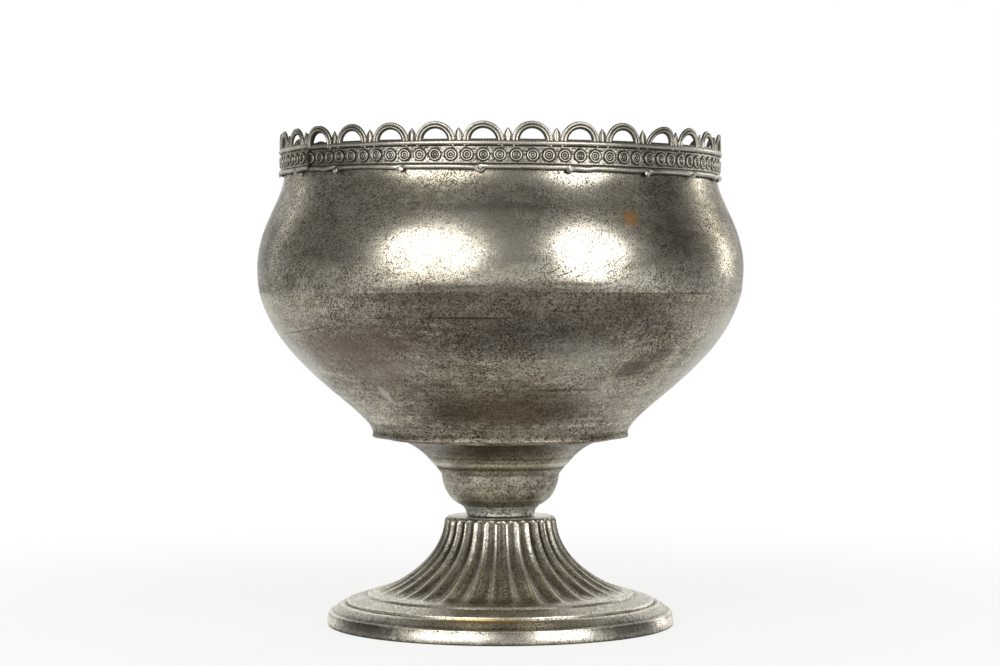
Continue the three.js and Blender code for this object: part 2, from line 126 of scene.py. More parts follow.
class BowlSizes(bpy.types.PropertyGroup):
    """The two spun shells."""

    belly_radius: length("Belly radius", "Radius at the fullest point", WIDEST - 0.05 * MM)
    belly_level: length("Belly level", "Height of the fullest point", 0.1844)
    seam_radius: length("Seam radius", "Radius where the two shells meet", 0.1246)
    neck_radius: length("Neck radius", "Radius of the straight neck", 0.1118)
    neck_level: length("Neck level", "Height where the straight neck starts", 0.2322)
    ledge_radius: length("Ledge radius", "Radius of the ledge under the bowl", 0.0665)
    wall: length("Wall", "Thickness of the sheet", 0.0012)
    dent_depth: length("Dent depth", "How deep the soft dents go", 0.00045)
    seam_gap: length("Seam gap", "Width of the open line at the seam", 0.00006)


class StemSizes(bpy.types.PropertyGroup):
    """The spun cup and the collar under it."""

    rim_radius: length("Cup rim radius", "Radius of the cup under the bowl", 0.0575)
    waist_radius: length("Cup waist radius", "Radius where the cup turns steep", 0.0305)
    waist_level: length("Cup waist level", "Height of the waist", 0.0778)
    base_radius: length("Cup base radius", "Radius of the cup's flat base", 0.0197)
    wall: length("Wall", "Thickness of the sheet", 0.0012)
    collar_top_radius: length("Collar top radius", "Radius of the collar under the cup", 0.0196)
    collar_waist_radius: length("Collar waist radius", "Radius of the collar on the foot", 0.0176)


class FootSizes(bpy.types.PropertyGroup):
    """The cast foot."""

    radius: length("Foot radius", "Radius of the upright band", 0.0897)
    band_height: length("Band height", "Height of the upright band", 0.0068)
    notch_radius: length("Notch radius", "Radius of the notch between the mouldings", 0.0797)
    groove_radius: length("Groove radius", "Radius of the groove round the field", 0.0690)
    shoulder_radius: length("Shoulder radius", "Radius of the top of the flutes", 0.0291)
    top_radius: length("Top radius", "Radius of the flat top", 0.0262)
    wall: length("Wall", "Thickness of the casting", 0.0030)
    flutes: IntProperty(name="Flutes", description="Flutes round the foot", default=32, min=3)
    flute_depth: length("Flute depth", "Depth of a flute", 0.0016)
    flute_phase: angle("Flute phase", "Angle from the front to a ridge", -4.5)
    ridge: share("Ridge", "Part of the pitch that the ridge takes", 0.1)


class GallerySizes(bpy.types.PropertyGroup):
    """The stamped strips round the neck."""

    arches: IntProperty(name="Arches", description="Arches round the rim", default=31, min=3)
    roundels: IntProperty(name="Roundels", description="Roundels under each arch", default=3)
    ground_radius: length("Ground radius", "Radius of the back of the strips", 0.1126)
    bead_top: length("Bead top", "Height of the strip below its arches", 0.0147)
    arch_radius: length("Arch radius", "Outer radius of an arch", 0.0096)
    arch_sink: length("Arch sink", "How far an arch's centre lies under the bead top", 0.0011)
    bud_height: length("Bud height", "Height of the bud between two arches", 0.0053)
    bud_width: length("Bud width", "Width of the bud", 0.0044)
    roundel_radius: length("Roundel radius", "Outer radius of a roundel", 0.00305)
    phase: angle("Phase", "Angle from the front to the first arch", -4.1)
    tilt: length("Tilt", "How far the strips climb to the left", 0.0014)


class PatinaColours(bpy.types.PropertyGroup):
    """The colours of the old metal."""

    # Shadow is also the tint of the painted shade marks on the shells, the cup and the foot.
    shadow: colour("Shadow", "Oxide in the pits and grooves", (0.034, 0.029, 0.022))
    brown: colour("Brown", "Warm brown patina", (0.165, 0.143, 0.112))
    pewter: colour("Pewter", "Grey of the worn sheet", (0.300, 0.282, 0.240))
    # Rubbed is also the tint of the painted highlight and sheen marks on the upper shell.
    rubbed: colour("Rubbed", "Bare metal on rubbed spots", (0.560, 0.535, 0.470))
    rose: colour("Rose", "Pinkish grey bloom on the lower shell", (0.300, 0.245, 0.215))
    copper: colour("Copper", "Copper showing through the plating", (0.560, 0.270, 0.085))
    brass: colour("Brass", "Brass showing through on the foot", (0.640, 0.480, 0.220))
    zinc: colour("Zinc", "Blue-grey of the collar", (0.430, 0.440, 0.425))
    solder: colour("Solder", "Tin solder of the tacks", (0.330, 0.310, 0.265))
    steel: colour("Steel", "Plated steel of the nuts and washers", (0.420, 0.415, 0.400))


class StudioLook(bpy.types.PropertyGroup):
    """The camera, the floor and the light."""

    distance: length("Camera distance", "From the axis to the camera", 1.341)
    height: length("Camera height", "Of the camera above the floor", 0.1728)
    pitch: angle("Camera pitch", "How far the camera looks down", 0.952)
    lens: FloatProperty(name="Lens", description="Focal length in millimetres", default=93.14)
    floor_radius: length("Floor radius", "Radius of the floor", 6.0)
    backdrop: colour("Backdrop", "Light from behind the object", (1.0, 1.0, 1.0))
    room: colour("Room", "Light from the room in front", (0.255, 0.248, 0.236))
    curtain: colour("Curtain", "Light from the bright edges of the backdrop", (4.2, 4.0, 3.85))
    lamp_distance: length("Lamp distance", "From the bowl to the lamps", 1.3)
    lamp_radiance: FloatProperty(
        name="Lamp radiance", description="Brightness of the lamps", default=4.0
    )


class FlowerBowl(bpy.types.PropertyGroup):
    """All the settings of the bowl."""

    bowl: PointerProperty(type=BowlSizes)
    stem: PointerProperty(type=StemSizes)
    foot: PointerProperty(type=FootSizes)
    gallery: PointerProperty(type=GallerySizes)
    patina: PointerProperty(type=PatinaColours)
    studio: PointerProperty(type=StudioLook)


# ------------------------------------------------------------------ curves and noise
def off(point, across, up):
    """A point of an outline moved by millimetres."""
    return (point[0] + across * MM, point[1] + up * MM)


def bezier(start, pull, push, end, count):
    """Points along a cubic curve, both ends included."""
    t = np.linspace(0, 1, count + 1)[:, None]
    start, pull, push, end = (np.array(p, float) for p in (start, pull, push, end))
    ends = (1 - t) ** 3 * start + 3 * (1 - t) ** 2 * t * pull
    return ends + 3 * (1 - t) * t**2 * push + t**3 * end


def straight(start, end, count=1):
    """Points along a line, both ends included."""
    return np.linspace(np.array(start, float), np.array(end, float), count + 1)


def chain(*runs):
    """Several runs of points as one, without the points that repeat."""
    points = [np.array(runs[0][0], float)]
    for run in runs:
        for point in run:
            if np.linalg.norm(point - points[-1]) > 1e-7:
                points.append(np.array(point, float))
    return np.array(points)


def normals_of(outline):
    """The normals on the right-hand side of an outline."""
    along = np.gradient(outline, axis=0)
    along /= np.linalg.norm(along, axis=1)[:, None]
    return np.stack([along[:, 1], -along[:, 0]], axis=1)


def smooth_step(value, low=0.0, high=1.0):
    """Zero below low, one above high and an even climb between them."""
    t = np.clip((np.asarray(value, float) - low) / (high - low), 0, 1)
    return t * t * (3 - 2 * t)


def bump_at(value, centre, width):
    """A soft bump, one at its centre."""
    return np.exp(-(((np.asarray(value, float) - centre) / width) ** 2))


def turn_apart(angles, centre):
    """The angles from a direction, in radians, the short way round."""
    return (np.asarray(angles, float) - centre + math.pi) % (2 * math.pi) - math.pi


def soft_noise(points, size, seed):
    """Smooth noise from -1 to 1 at a list of points, with lumps of a size."""
    shift = Vector((seed * 17.3, seed * -9.1, seed * 5.7))
    return np.array([noise.noise(Vector(p) / size + shift) for p in points])


# ------------------------------------------------------------------ meshes
def full_turn(count, start=0.0):
    """Even angles once round the axis."""
    return start + np.linspace(0, 2 * math.pi, count, endpoint=False)


def on_circle(radius, around, z):
    """Points at angles from the front, towards +X."""
    sides = np.broadcast_arrays(radius * np.sin(around), -radius * np.cos(around), z)
    return np.stack(sides, axis=-1)


def grid_faces(rows, columns, ring_rows, ring_columns):
    """Quads over a grid of points that may close on itself either way."""
    row = np.arange(rows if ring_rows else rows - 1)
    column = np.arange(columns if ring_columns else columns - 1)
    row, column = (a.ravel() for a in np.meshgrid(row, column, indexing="ij"))
    row, next_row = row * columns, (row + 1) % rows * columns
    next_column = (column + 1) % columns
    corners = (row + column, row + next_column, next_row + next_column, next_row + column)
    return np.stack(corners, axis=1)


def capped_tube(rows, columns, inward=False):
    """Quads along a tube of rings, and a cap on each end."""
    first = list(range(columns))
    last = [(rows - 1) * columns + i for i in first]
    caps = [first, last[::-1]] if inward else [first[::-1], last]
    return grid_faces(rows, columns, False, True).tolist() + caps


class Shape:
    """Points and faces that grow patch by patch, with a height of relief at each point."""

    def __init__(self, *patch):
        self.points, self.faces, self.relief = [], [], []
        self.count = 0
        if patch:
            self.add(*patch)

    def add(self, points, faces, relief):
        """Adds a patch. Relief runs from 0 in the deepest grooves to 1 on the crests."""
        self.points.append(np.asarray(points, float).reshape(-1, 3))
        self.relief.append(np.broadcast_to(relief, len(self.points[-1])))
        self.faces += [[int(i) + self.count for i in face] for face in faces]
        self.count += len(self.points[-1])

    def mesh(self, name, crease):
        """The finished mesh, smooth but for edges that turn more than a crease angle."""
        mesh = bpy.data.meshes.new(name)
        mesh.from_pydata(np.concatenate(self.points).tolist(), [], self.faces)
        relief = mesh.attributes.new("relief", "FLOAT", "POINT")
        relief.data.foreach_set("value", np.concatenate(self.relief).astype(np.float32))
        mesh.validate()
        mesh.shade_smooth()
        mesh.set_sharp_from_angle(angle=math.radians(crease))
        return mesh


def dress(name, shape, metal, slot, *nodes, crease=38):
    """Makes a piece of a shape, in one of the metals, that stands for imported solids."""
    piece = bpy.data.objects.new(name, shape.mesh(name, crease))
    bpy.context.scene.collection.objects.link(piece)
    piece.data.materials.append(METALS[metal])
    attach(piece, BODY)
    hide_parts(*nodes)


def turned(outline, segments, phase=0.0):
    """A closed outline of (radius, z) turned round the axis: points[row, column] and faces."""
    points = on_circle(outline[:, :1], full_turn(segments, phase), outline[:, 1:])
    return points, grid_faces(len(outline), segments, True, True)


# ------------------------------------------------------------------ shader helpers
SOCKET_KINDS = {1: "NodeSocketFloat", 3: "NodeSocketVector", 4: "NodeSocketColor"}
GROUPS = {}
METALS = {}


def fill(tree, node, inputs):
    """Links or sets a node's inputs. A colour gets full alpha."""
    for key, value in inputs.items():
        socket = node.inputs[key]
        if isinstance(value, bpy.types.NodeSocket):
            tree.links.new(value, socket)
        elif socket.type == "RGBA":
            socket.default_value = (*value[:3], 1.0)
        else:
            socket.default_value = value
    return node


def add_node(tree, kind, inputs=None, **settings):
    """A node with its settings, and its inputs linked or set."""
    node = tree.nodes.new(kind)
    for key, value in settings.items():
        setattr(node, key, value)
    return fill(tree, node, inputs or {})


def calculate(tree, operation, first, second=0.0, clamp=False):
    """One sum on two values."""
    inputs = {0: first, 1: second}
    return add_node(tree, "ShaderNodeMath", inputs, operation=operation, use_clamp=clamp).outputs[0]


def vector_sum(tree, operation, first, second=(0, 0, 0)):
    """One sum on two vectors. A length comes out as a value."""
    node = add_node(tree, "ShaderNodeVectorMath", {0: first, 1: second}, operation=operation)
    return node.outputs["Value" if operation == "LENGTH" else "Vector"]


def spread(tree, value, low, high, to_low=0.0, to_high=1.0):
    """A value eased from one range to another."""
    inputs = {"Value": value, "From Min": low, "From Max": high, "To Min": to_low, "To Max": to_high}
    node = add_node(tree, "ShaderNodeMapRange", inputs, interpolation_type="SMOOTHSTEP")
    return node.outputs["Result"]


def blend_colours(tree, factor, first, second, mode="MIX"):
    """Two colours mixed by a mask."""
    inputs = {0: factor, 6: first, 7: second}
    return add_node(tree, "ShaderNodeMix", inputs, data_type="RGBA", blend_type=mode).outputs[2]


def noise_value(tree, place, scale, detail, roughness, distortion=0.0):
    """Cloudy noise from 0 to 1 at a place."""
    inputs = {"Vector": place, "Scale": scale, "Detail": detail, "Roughness": roughness}
    inputs["Distortion"] = distortion
    return add_node(tree, "ShaderNodeTexNoise", inputs).outputs["Fac"]


def new_group(name, inputs, outputs):
    """An empty shader group, its inputs and its end. A default's length gives a socket's kind."""
    tree = bpy.data.node_groups.new(name, "ShaderNodeTree")
    for label, default in inputs.items():
        kind = SOCKET_KINDS[np.size(default)]
        tree.interface.new_socket(label, in_out="INPUT", socket_type=kind).default_value = default
    for label in outputs:
        kind = SOCKET_KINDS[4 if label == "Color" else 1]
        tree.interface.new_socket(label, in_out="OUTPUT", socket_type=kind)
    return tree, tree.nodes.new("NodeGroupInput").outputs, tree.nodes.new("NodeGroupOutput")


def use_group(tree, name, inputs):
    """A shared group placed with its own values, and its outputs."""
    return add_node(tree, "ShaderNodeGroup", inputs, node_tree=GROUPS[name]).outputs


# ------------------------------------------------------------------ shared effects
STREAK_TINT = (0.62, 0.60, 0.57)
DUST_TINT = (1.9, 1.9, 1.85)


def fine_pits_group():
    """Small dark pits, one to a cell, that gather in clouds, with an even grain and a ripple."""
    tree, given, end = new_group(
        "Fine pits",
        {"Place": (0, 0, 0), "Pits per metre": 1500, "Cover": 0.3, "Gather": 0.11},
        ("Mask", "Grain", "Ripple"),
    )
    place, pits = given["Place"], given["Pits per metre"]
    cells = add_node(tree, "ShaderNodeTexVoronoi", {"Vector": place, "Scale": pits})
    grain = add_node(tree, "ShaderNodeSeparateColor", {0: cells.outputs["Color"]}).outputs[0]
    ripple = noise_value(tree, place, pits, 1.5, 0.6)
    coarse = noise_value(tree, place, 70.0, 4.0, 0.65)
    gathered = calculate(tree, "MULTIPLY", spread(tree, coarse, 0.3, 0.7, -1.0, 1.0), given["Gather"])
    threshold = calculate(tree, "ADD", given["Cover"], gathered)
    deep = calculate(tree, "SUBTRACT", threshold, grain)
    fill(tree, end, {"Mask": spread(tree, deep, -0.12, 0.12), "Grain": grain, "Ripple": ripple})
    return tree


def spun_marks_group():
    """Level streaks left by spinning the sheet, round the axis."""
    inputs = {"Place": (0, 0, 0), "Pitch": 700, "Run": 14}
    tree, given, end = new_group("Spun marks", inputs, ["Streak"])
    run, pitch = given["Run"], given["Pitch"]
    scale = add_node(tree, "ShaderNodeCombineXYZ", {0: run, 1: run, 2: pitch}).outputs[0]
    stretched = vector_sum(tree, "MULTIPLY", given["Place"], scale)
    fill(tree, end, {"Streak": noise_value(tree, stretched, 1.0, 2.5, 0.55)})
    return tree


def mottle_group():
    """Cloudy patches, drawn out a little round the axis."""
    inputs = {"Place": (0, 0, 0), "Clouds per metre": 40, "Edge": 0.12}
    tree, given, end = new_group("Mottle", inputs, ["Cloud"])
    drawn_out = vector_sum(tree, "MULTIPLY", given["Place"], (0.7, 0.7, 1.5))
    cloud = noise_value(tree, drawn_out, given["Clouds per metre"], 5.0, 0.58, 0.4)
    low = calculate(tree, "SUBTRACT", 0.5, given["Edge"])
    high = calculate(tree, "ADD", 0.5, given["Edge"])
    fill(tree, end, {"Cloud": spread(tree, cloud, low, high)})
    return tree


def mark_group():
    """One ragged mark: a mask round a centre, with a half size along each axis."""
    inputs = {
        "Place": (0, 0, 0),
        "Centre": (0, 0, 0),
        "Half size": (0.01, 0.01, 0.01),
        "Ragged": 0.4,
        "Softness": 0.4,
        "Slant": 0.0,
    }
    tree, given, end = new_group("Mark", inputs, ["Mask"])
    away = vector_sum(tree, "SUBTRACT", given["Place"], given["Centre"])
    x, y, z = add_node(tree, "ShaderNodeSeparateXYZ", {0: away}).outputs
    level = calculate(tree, "SUBTRACT", z, calculate(tree, "MULTIPLY", x, given["Slant"]))
    slanted = add_node(tree, "ShaderNodeCombineXYZ", {0: x, 1: y, 2: level}).outputs[0]
    reach = vector_sum(tree, "LENGTH", vector_sum(tree, "DIVIDE", slanted, given["Half size"]))
    tear = calculate(tree, "SUBTRACT", noise_value(tree, given["Place"], 420.0, 4.0, 0.7), 0.5)
    tear = calculate(tree, "MULTIPLY", calculate(tree, "MULTIPLY", tear, given["Ragged"]), 3.0)
    edge = calculate(tree, "ADD", reach, tear)
    inner = calculate(tree, "SUBTRACT", 1.0, given["Softness"])
    outer = calculate(tree, "ADD", 1.0, given["Softness"])
    fill(tree, end, {"Mask": spread(tree, edge, inner, outer, 1.0, 0.0)})
    return tree


def patina_group():
    """Layered colour, roughness and height of antiqued metal."""
    inputs = {
        "Place": (0, 0, 0),
        "Relief": 0.5,
        "Shadow": (0.03, 0.03, 0.02, 1),
        "Brown": (0.1, 0.09, 0.07, 1),
        "Pewter": (0.2, 0.2, 0.17, 1),
        "Rubbed": (0.45, 0.42, 0.36, 1),
        "Clouds per metre": 38,
        "Pit cover": 0.4,
        "Pits per metre": 1700,
        "Pit depth": 0.6,
        "Gather": 0.09,
        "Grain": 0.5,
        "Streaks": 0.5,
        "Relief wear": 0.0,
        "Roughness": 0.34,
        "Pit roughness": 0.22,
    }
    tree, given, end = new_group("Antique patina", inputs, ("Color", "Roughness", "Height"))
    sums, blend, ease = (partial(step, tree) for step in (calculate, blend_colours, spread))
    place, relief, relief_wear_and_painted_light = given["Place"], given["Relief"], given["Relief wear"]
    shadow, rubbed = given["Shadow"], given["Rubbed"]
    clouds = {"Place": place, "Clouds per metre": given["Clouds per metre"]}
    cloud = use_group(tree, "mottle", clouds)["Cloud"]
    blooms = {"Place": place, "Clouds per metre": 150.0, "Edge": 0.2}
    bloom = use_group(tree, "mottle", blooms)["Cloud"]
    shared = {label: given[label] for label in ("Place", "Pits per metre", "Gather")}
    pits = use_group(tree, "pits", {"Cover": given["Pit cover"], **shared})
    streak = use_group(tree, "spun", {"Place": place})["Streak"]

    now = blend(cloud, given["Brown"], given["Pewter"])
    now = blend(sums("MULTIPLY", bloom, 0.35), now, rubbed)
    streaked = sums("MULTIPLY", ease(streak, 0.35, 0.65), given["Streaks"])
    now = blend(streaked, now, blend(1.0, now, STREAK_TINT, "MULTIPLY"))
    # Crests take the rubbed tint and hollows the shadow tint: wear and oxide, and painted light where
    # the relief is raised or lowered for it on the foot and the lower shell's ledge.
    worn = sums("MULTIPLY", ease(relief, 0.55, 1.0), relief_wear_and_painted_light)
    now = blend(worn, now, rubbed)
    sunk = sums("MULTIPLY", ease(relief, 0.0, 0.5, 1.0, 0.0), relief_wear_and_painted_light)
    now = blend(sunk, now, shadow)
    dusty = sums("MULTIPLY", ease(pits["Grain"], 0.25, 0.75), given["Grain"])
    now = blend(dusty, now, blend(1.0, now, DUST_TINT, "MULTIPLY"))
    pitted = sums("MULTIPLY", pits["Mask"], given["Pit depth"])
    polish = sums("SUBTRACT", 1.0, sums("MULTIPLY", worn, 0.8))
    now = blend(sums("MULTIPLY", pitted, polish), now, shadow)

    rough = sums("ADD", given["Roughness"], sums("MULTIPLY", pits["Mask"], given["Pit roughness"]))
    rough = sums("ADD", rough, sums("MULTIPLY", sunk, 0.25))
    rough = sums("SUBTRACT", rough, sums("MULTIPLY", cloud, 0.06), clamp=True)
    height = sums("ADD", sums("MULTIPLY", pits["Mask"], -0.5), pits["Ripple"])
    height = sums("ADD", height, sums("MULTIPLY", streak, 0.6))
    fill(tree, end, {"Color": now, "Roughness": rough, "Height": height})
    return tree


def make_groups():
    """Builds each shared group once."""
    GROUPS["pits"] = fine_pits_group()
    GROUPS["spun"] = spun_marks_group()
    GROUPS["mottle"] = mottle_group()
    GROUPS["mark"] = mark_group()
    GROUPS["patina"] = patina_group()


# ------------------------------------------------------------------ materials
# Tints of single marks, beside the colours of the patina.
MARK_TINTS = {
    # Pale is partly painted reflection, on the lower shell's glancing edges.
    "pale": (0.46, 0.46, 0.40),
    "rust": (0.110, 0.080, 0.064),
    "light rust": (0.120, 0.088, 0.070),
    # Umber is painted shade, low in the middle of the lower shell.
    "umber": (0.095, 0.064, 0.042),
    "dusky rose": (0.150, 0.112, 0.092),
    "dark stain": (0.075, 0.050, 0.040),
    "scuff": (0.50, 0.43, 0.42),
}
# Beside the right highlight: scratches as (degrees, level, slant), and nicks as (degrees, level).
SCRATCHES = (
    (9.6, 184.0, 0.7), (11.8, 182.0, 0.6), (14.0, 180.4, 0.3), (19.0, 181.4, 0.6),
    (21.4, 182.8, 0.7), (23.8, 184.8, 0.7), (26.6, 187.0, 0.8), (24.6, 181.6, 0.4),
    (17.2, 179.4, 0.2), (28.6, 184.0, 0.9),
)
NICKS = ((-22.0, 190.8), (-18.4, 193.8), (18.7, 185.6), (39.0, 194.0))
# A mark: its angle in degrees, its level, radius, half width and half height in millimetres, its
# tint and strength, and how ragged, soft and slanting it is. Later marks lie over earlier ones.
UPPER_MARKS = (
    (31.5, 207.6, 120.4, 3.6, 3.4, "copper", 0.75, 0.9, 0.8),
    (28.5, 212.0, 119.2, 2.6, 1.8, "brass", 0.25, 0.9, 0.8),
    (17.0, 175.6, 125.5, 16.0, 0.8, "shadow", 0.5, 0.9, 0.5),
    (-12.0, 174.6, 125.2, 20.0, 1.3, "shadow", 0.5, 0.8, 0.6),
    (5.0, 212.0, 118.5, 60.0, 2.4, "shadow", 0.35, 0.7, 0.8),
    (-42.0, 192.0, 124.4, 14.0, 14.0, "brown", 0.35, 0.6, 0.7),
    *((turn, z, 125.6, 2.8, 0.3, "shadow", 0.9, 0.3, 0.5, slant) for turn, z, slant in SCRATCHES),
    *((turn, z, 125.0, 0.6, 0.45, "shadow", 0.8, 0.4, 0.4) for turn, z in NICKS),
    (50.0, 210.0, 119.0, 10.0, 7.0, "rubbed", 0.18, 0.8, 0.7),
    # Painted shade: dark reflections below both highlights near the seam, at the neck's right, at both
    # glancing edges and beside the right highlight.
    (-52.0, 176.5, 125.5, 27.0, 6.0, "shadow", 0.5, 0.7, 0.6),
    (48.0, 177.0, 125.5, 24.0, 6.5, "shadow", 0.55, 0.7, 0.6),
    (0.0, 172.5, 125.0, 62.0, 3.4, "shadow", 0.65, 0.6, 0.7),
    (45.0, 223.0, 112.5, 14.0, 9.0, "shadow", 0.4, 0.6, 0.7),
    (-71.0, 193.0, 124.5, 22.0, 17.0, "shadow", 0.62, 0.6, 0.7),
    (84.0, 189.0, 125.0, 18.0, 18.0, "shadow", 0.65, 0.6, 0.7),
    (43.0, 200.0, 122.0, 15.0, 22.0, "shadow", 0.38, 0.5, 0.8),
    # Painted highlight and sheen: a lighter base colour between the highlights, on the middle of the
    # neck and in the cores of both highlights.
    (-4.0, 196.0, 123.5, 26.0, 16.0, "rubbed", 0.26, 0.7, 0.8),
    (2.0, 228.0, 112.5, 12.0, 8.0, "rubbed", 0.18, 0.6, 0.7),
    (-16.0, 193.5, 124.5, 20.0, 11.0, "rubbed", 0.32, 0.8, 0.8),
    (21.5, 194.0, 124.5, 13.0, 10.0, "rubbed", 0.3, 0.8, 0.8),
)
LOWER_MARKS = (
    # Painted shade: the dark reflection across the front of the lower shell, below the seam.
    (5.0, 167.0, 124.0, 84.0, 24.0, "shadow", 0.66, 0.5, 0.5),
    (4.0, 148.0, 113.0, 42.0, 8.0, "shadow", 0.5, 0.6, 0.6),
    (38.0, 161.0, 121.0, 22.0, 8.0, "shadow", 0.4, 0.6, 0.7),
    (-35.0, 146.0, 111.0, 28.0, 12.0, "rust", 0.75, 0.8, 0.6),
    (-36.0, 131.0, 99.0, 20.0, 9.0, "light rust", 0.5, 0.9, 0.6),
    # Painted shade under the bowl: darker at the ledge, and dark umber low in the middle of the front.
    (0.0, 103.6, 66.5, 80.0, 2.6, "shadow", 0.35, 0.3, 0.5),
    (2.0, 113.0, 79.0, 38.0, 6.5, "umber", 0.6, 0.6, 0.8),
    # Painted reflection: pale glancing edges at both sides of the lower shell.
    (-84.0, 146.0, 110.0, 36.0, 30.0, "pale", 0.85, 0.9, 0.7),
    (82.0, 145.0, 109.0, 34.0, 30.0, "pale", 0.8, 0.9, 0.7),
    (-56.0, 160.0, 120.5, 20.0, 5.0, "rose", 0.5, 0.9, 0.7),
    (56.0, 162.0, 121.5, 22.0, 6.0, "rose", 0.4, 0.9, 0.7),
    (-50.0, 143.0, 109.0, 22.0, 9.0, "dusky rose", 0.6, 0.7, 0.7),
    (-14.0, 112.0, 78.0, 11.0, 6.0, "shadow", 0.3, 0.6, 0.7),
    (22.0, 139.0, 106.5, 17.0, 9.0, "pale", 0.28, 1.2, 0.7),
    (32.0, 122.0, 89.0, 18.0, 7.0, "rose", 0.35, 1.2, 0.7),
    (-30.0, 134.0, 101.0, 24.0, 3.5, "rose", 0.3, 1.2, 0.7, 0.25),
    (40.0, 135.0, 102.0, 10.0, 5.0, "dark stain", 0.8, 0.8, 0.5, 0.3),
    (46.0, 141.0, 108.0, 8.0, 3.4, "dark stain", 0.7, 0.8, 0.5),
    (19.0, 124.3, 91.0, 19.0, 0.6, "shadow", 0.6, 0.8, 0.5),
    (-40.2, 121.0, 87.4, 4.5, 2.6, "scuff", 0.6, 0.5, 0.4, -1.3),
    (-7.5, 159.4, 120.2, 22.0, 0.42, "shadow", 0.95, 0.4, 0.4),
    (-28.0, 159.2, 120.2, 12.0, 0.3, "shadow", 0.4, 0.7, 0.5),
    (-58.0, 152.5, 116.5, 30.0, 0.32, "shadow", 0.65, 0.5, 0.4, 0.16),
    (-62.0, 147.6, 113.5, 14.0, 0.3, "shadow", 0.45, 0.5, 0.4, -0.2),
    (50.0, 171.0, 124.5, 16.0, 0.35, "shadow", 0.7, 0.5, 0.4),
    (14.0, 153.0, 117.0, 4.0, 2.2, "shadow", 0.4, 0.9, 0.5, 0.6),
)
# Painted shade on the cup's top, under the bowl's ledge.
CUP_MARKS = ((0.0, 95.5, 48.0, 62.0, 5.5, "shadow", 0.5, 0.4, 0.6),)
FOOT_MARKS = (
    (-5.0, 11.2, 82.2, 20.0, 0.9, "brass", 0.9, 0.6, 0.4),
    # Painted shade over the upper flutes at both sides.
    (-60.0, 44.0, 31.0, 14.0, 11.0, "shadow", 0.7, 0.4, 0.6),
    (60.0, 44.0, 31.0, 14.0, 11.0, "shadow", 0.6, 0.4, 0.6),
    # Painted shade: dark reflections on the band at both sides and at the front.
    (-50.0, 3.6, 89.5, 26.0, 5.0, "shadow", 0.78, 0.6, 0.5),
    (49.0, 3.6, 89.5, 24.0, 5.0, "shadow", 0.72, 0.6, 0.5),
    (2.0, 3.6, 89.5, 12.0, 6.0, "shadow", 0.45, 0.6, 0.5),
    # Painted shade over the upper flutes at the front.
    (0.0, 44.0, 31.0, 26.0, 14.0, "shadow", 0.3, 0.5, 0.8),
)
# How far a narrow mark reaches along the eye line, so that it meets the curved sheet.
MARK_REACH = 4.0
# The values of each finish. A colour is given, or is a colour of the patina times a share.
FINISHES = {
    "upper": {
        "Brown": (0.210, 0.183, 0.140), "Pewter": (0.378, 0.354, 0.297),
        "Rubbed": (0.660, 0.632, 0.555), "Roughness": 0.27, "Pit roughness": 0.14,
        "Pits per metre": 2000.0, "Pit cover": 0.30, "Pit depth": 0.76, "Gather": 0.18,
        "Grain": 0.5, "Streaks": 0.25, "Clouds per metre": 24.0,
    },
    "lower": {
        "Pewter": (0.250, 0.217, 0.168), "Brown": (0.150, 0.122, 0.086), "Roughness": 0.36,
        "Pit roughness": 0.15, "Pits per metre": 1850.0, "Pit cover": 0.32, "Pit depth": 0.88,
        "Gather": 0.16, "Grain": 0.75, "Streaks": 0.7, "Clouds per metre": 34.0, "Relief wear": 0.7,
    },
    "cup": {
        "Pewter": (0.300, 0.278, 0.230), "Brown": (0.160, 0.136, 0.102),
        "Rubbed": (0.520, 0.495, 0.425), "Roughness": 0.38, "Pit roughness": 0.15,
        "Pits per metre": 1900.0, "Pit depth": 0.75, "Pit cover": 0.28,
        "Clouds per metre": 60.0, "Relief wear": 0.75,
    },
    "foot": {
        "Pewter": (0.375, 0.348, 0.288), "Brown": (0.220, 0.188, 0.140),
        "Rubbed": (0.700, 0.670, 0.590), "Roughness": 0.31, "Pit roughness": 0.15,
        "Pits per metre": 2000.0, "Pit depth": 0.75, "Pit cover": 0.26, "Streaks": 0.08,
        "Clouds per metre": 45.0, "Relief wear": 0.85,
    },
    "gallery": {
        "Shadow": (0.040, 0.036, 0.028), "Rubbed": (0.440, 0.420, 0.370), "Roughness": 0.36,
        "Pit cover": 0.12, "Pit depth": 0.4, "Grain": 0.2, "Streaks": 0.0,
        "Clouds per metre": 60.0, "Relief wear": 1.0,
    },
    "collar": {
        "Brown": ("zinc", 0.6), "Pewter": ("zinc", 1.0), "Rubbed": ("zinc", 1.4),
        "Roughness": 0.55, "Pit cover": 0.35, "Pits per metre": 1200.0, "Streaks": 0.1,
    },
    "solder": {
        "Brown": ("solder", 0.7), "Pewter": ("solder", 1.0), "Roughness": 0.34,
        "Pit cover": 0.35, "Pit depth": 0.8,
    },
    "steel": {
        "Brown": ("steel", 0.75), "Pewter": ("steel", 1.0), "Roughness": 0.32,
        "Pit cover": 0.2, "Relief wear": 0.5,
    },
}


def lay_mark(
    tree, place, under, tints, degrees, level, radius, across, up, tint, strength,
    ragged=0.4, softness=0.4, slant=0.0,
):
    """Lays one mark over the colour under it."""
    around = math.radians(degrees)
    deep = max(across, MARK_REACH)
    inputs = {
        "Place": place,
        "Centre": (radius * MM * math.sin(around), -radius * MM * math.cos(around), level * MM),
        "Half size": (
            MM * math.hypot(across * math.cos(around), deep * math.sin(around)),
            MM * math.hypot(across * math.sin(around), deep * math.cos(around)),
            MM * up,
        ),
        "Ragged": ragged,
        "Softness": softness,
        "Slant": slant,
    }
    mask = calculate(tree, "MULTIPLY", use_group(tree, "mark", inputs)["Mask"], strength)
    return blend_colours(tree, mask, under, tints[tint])


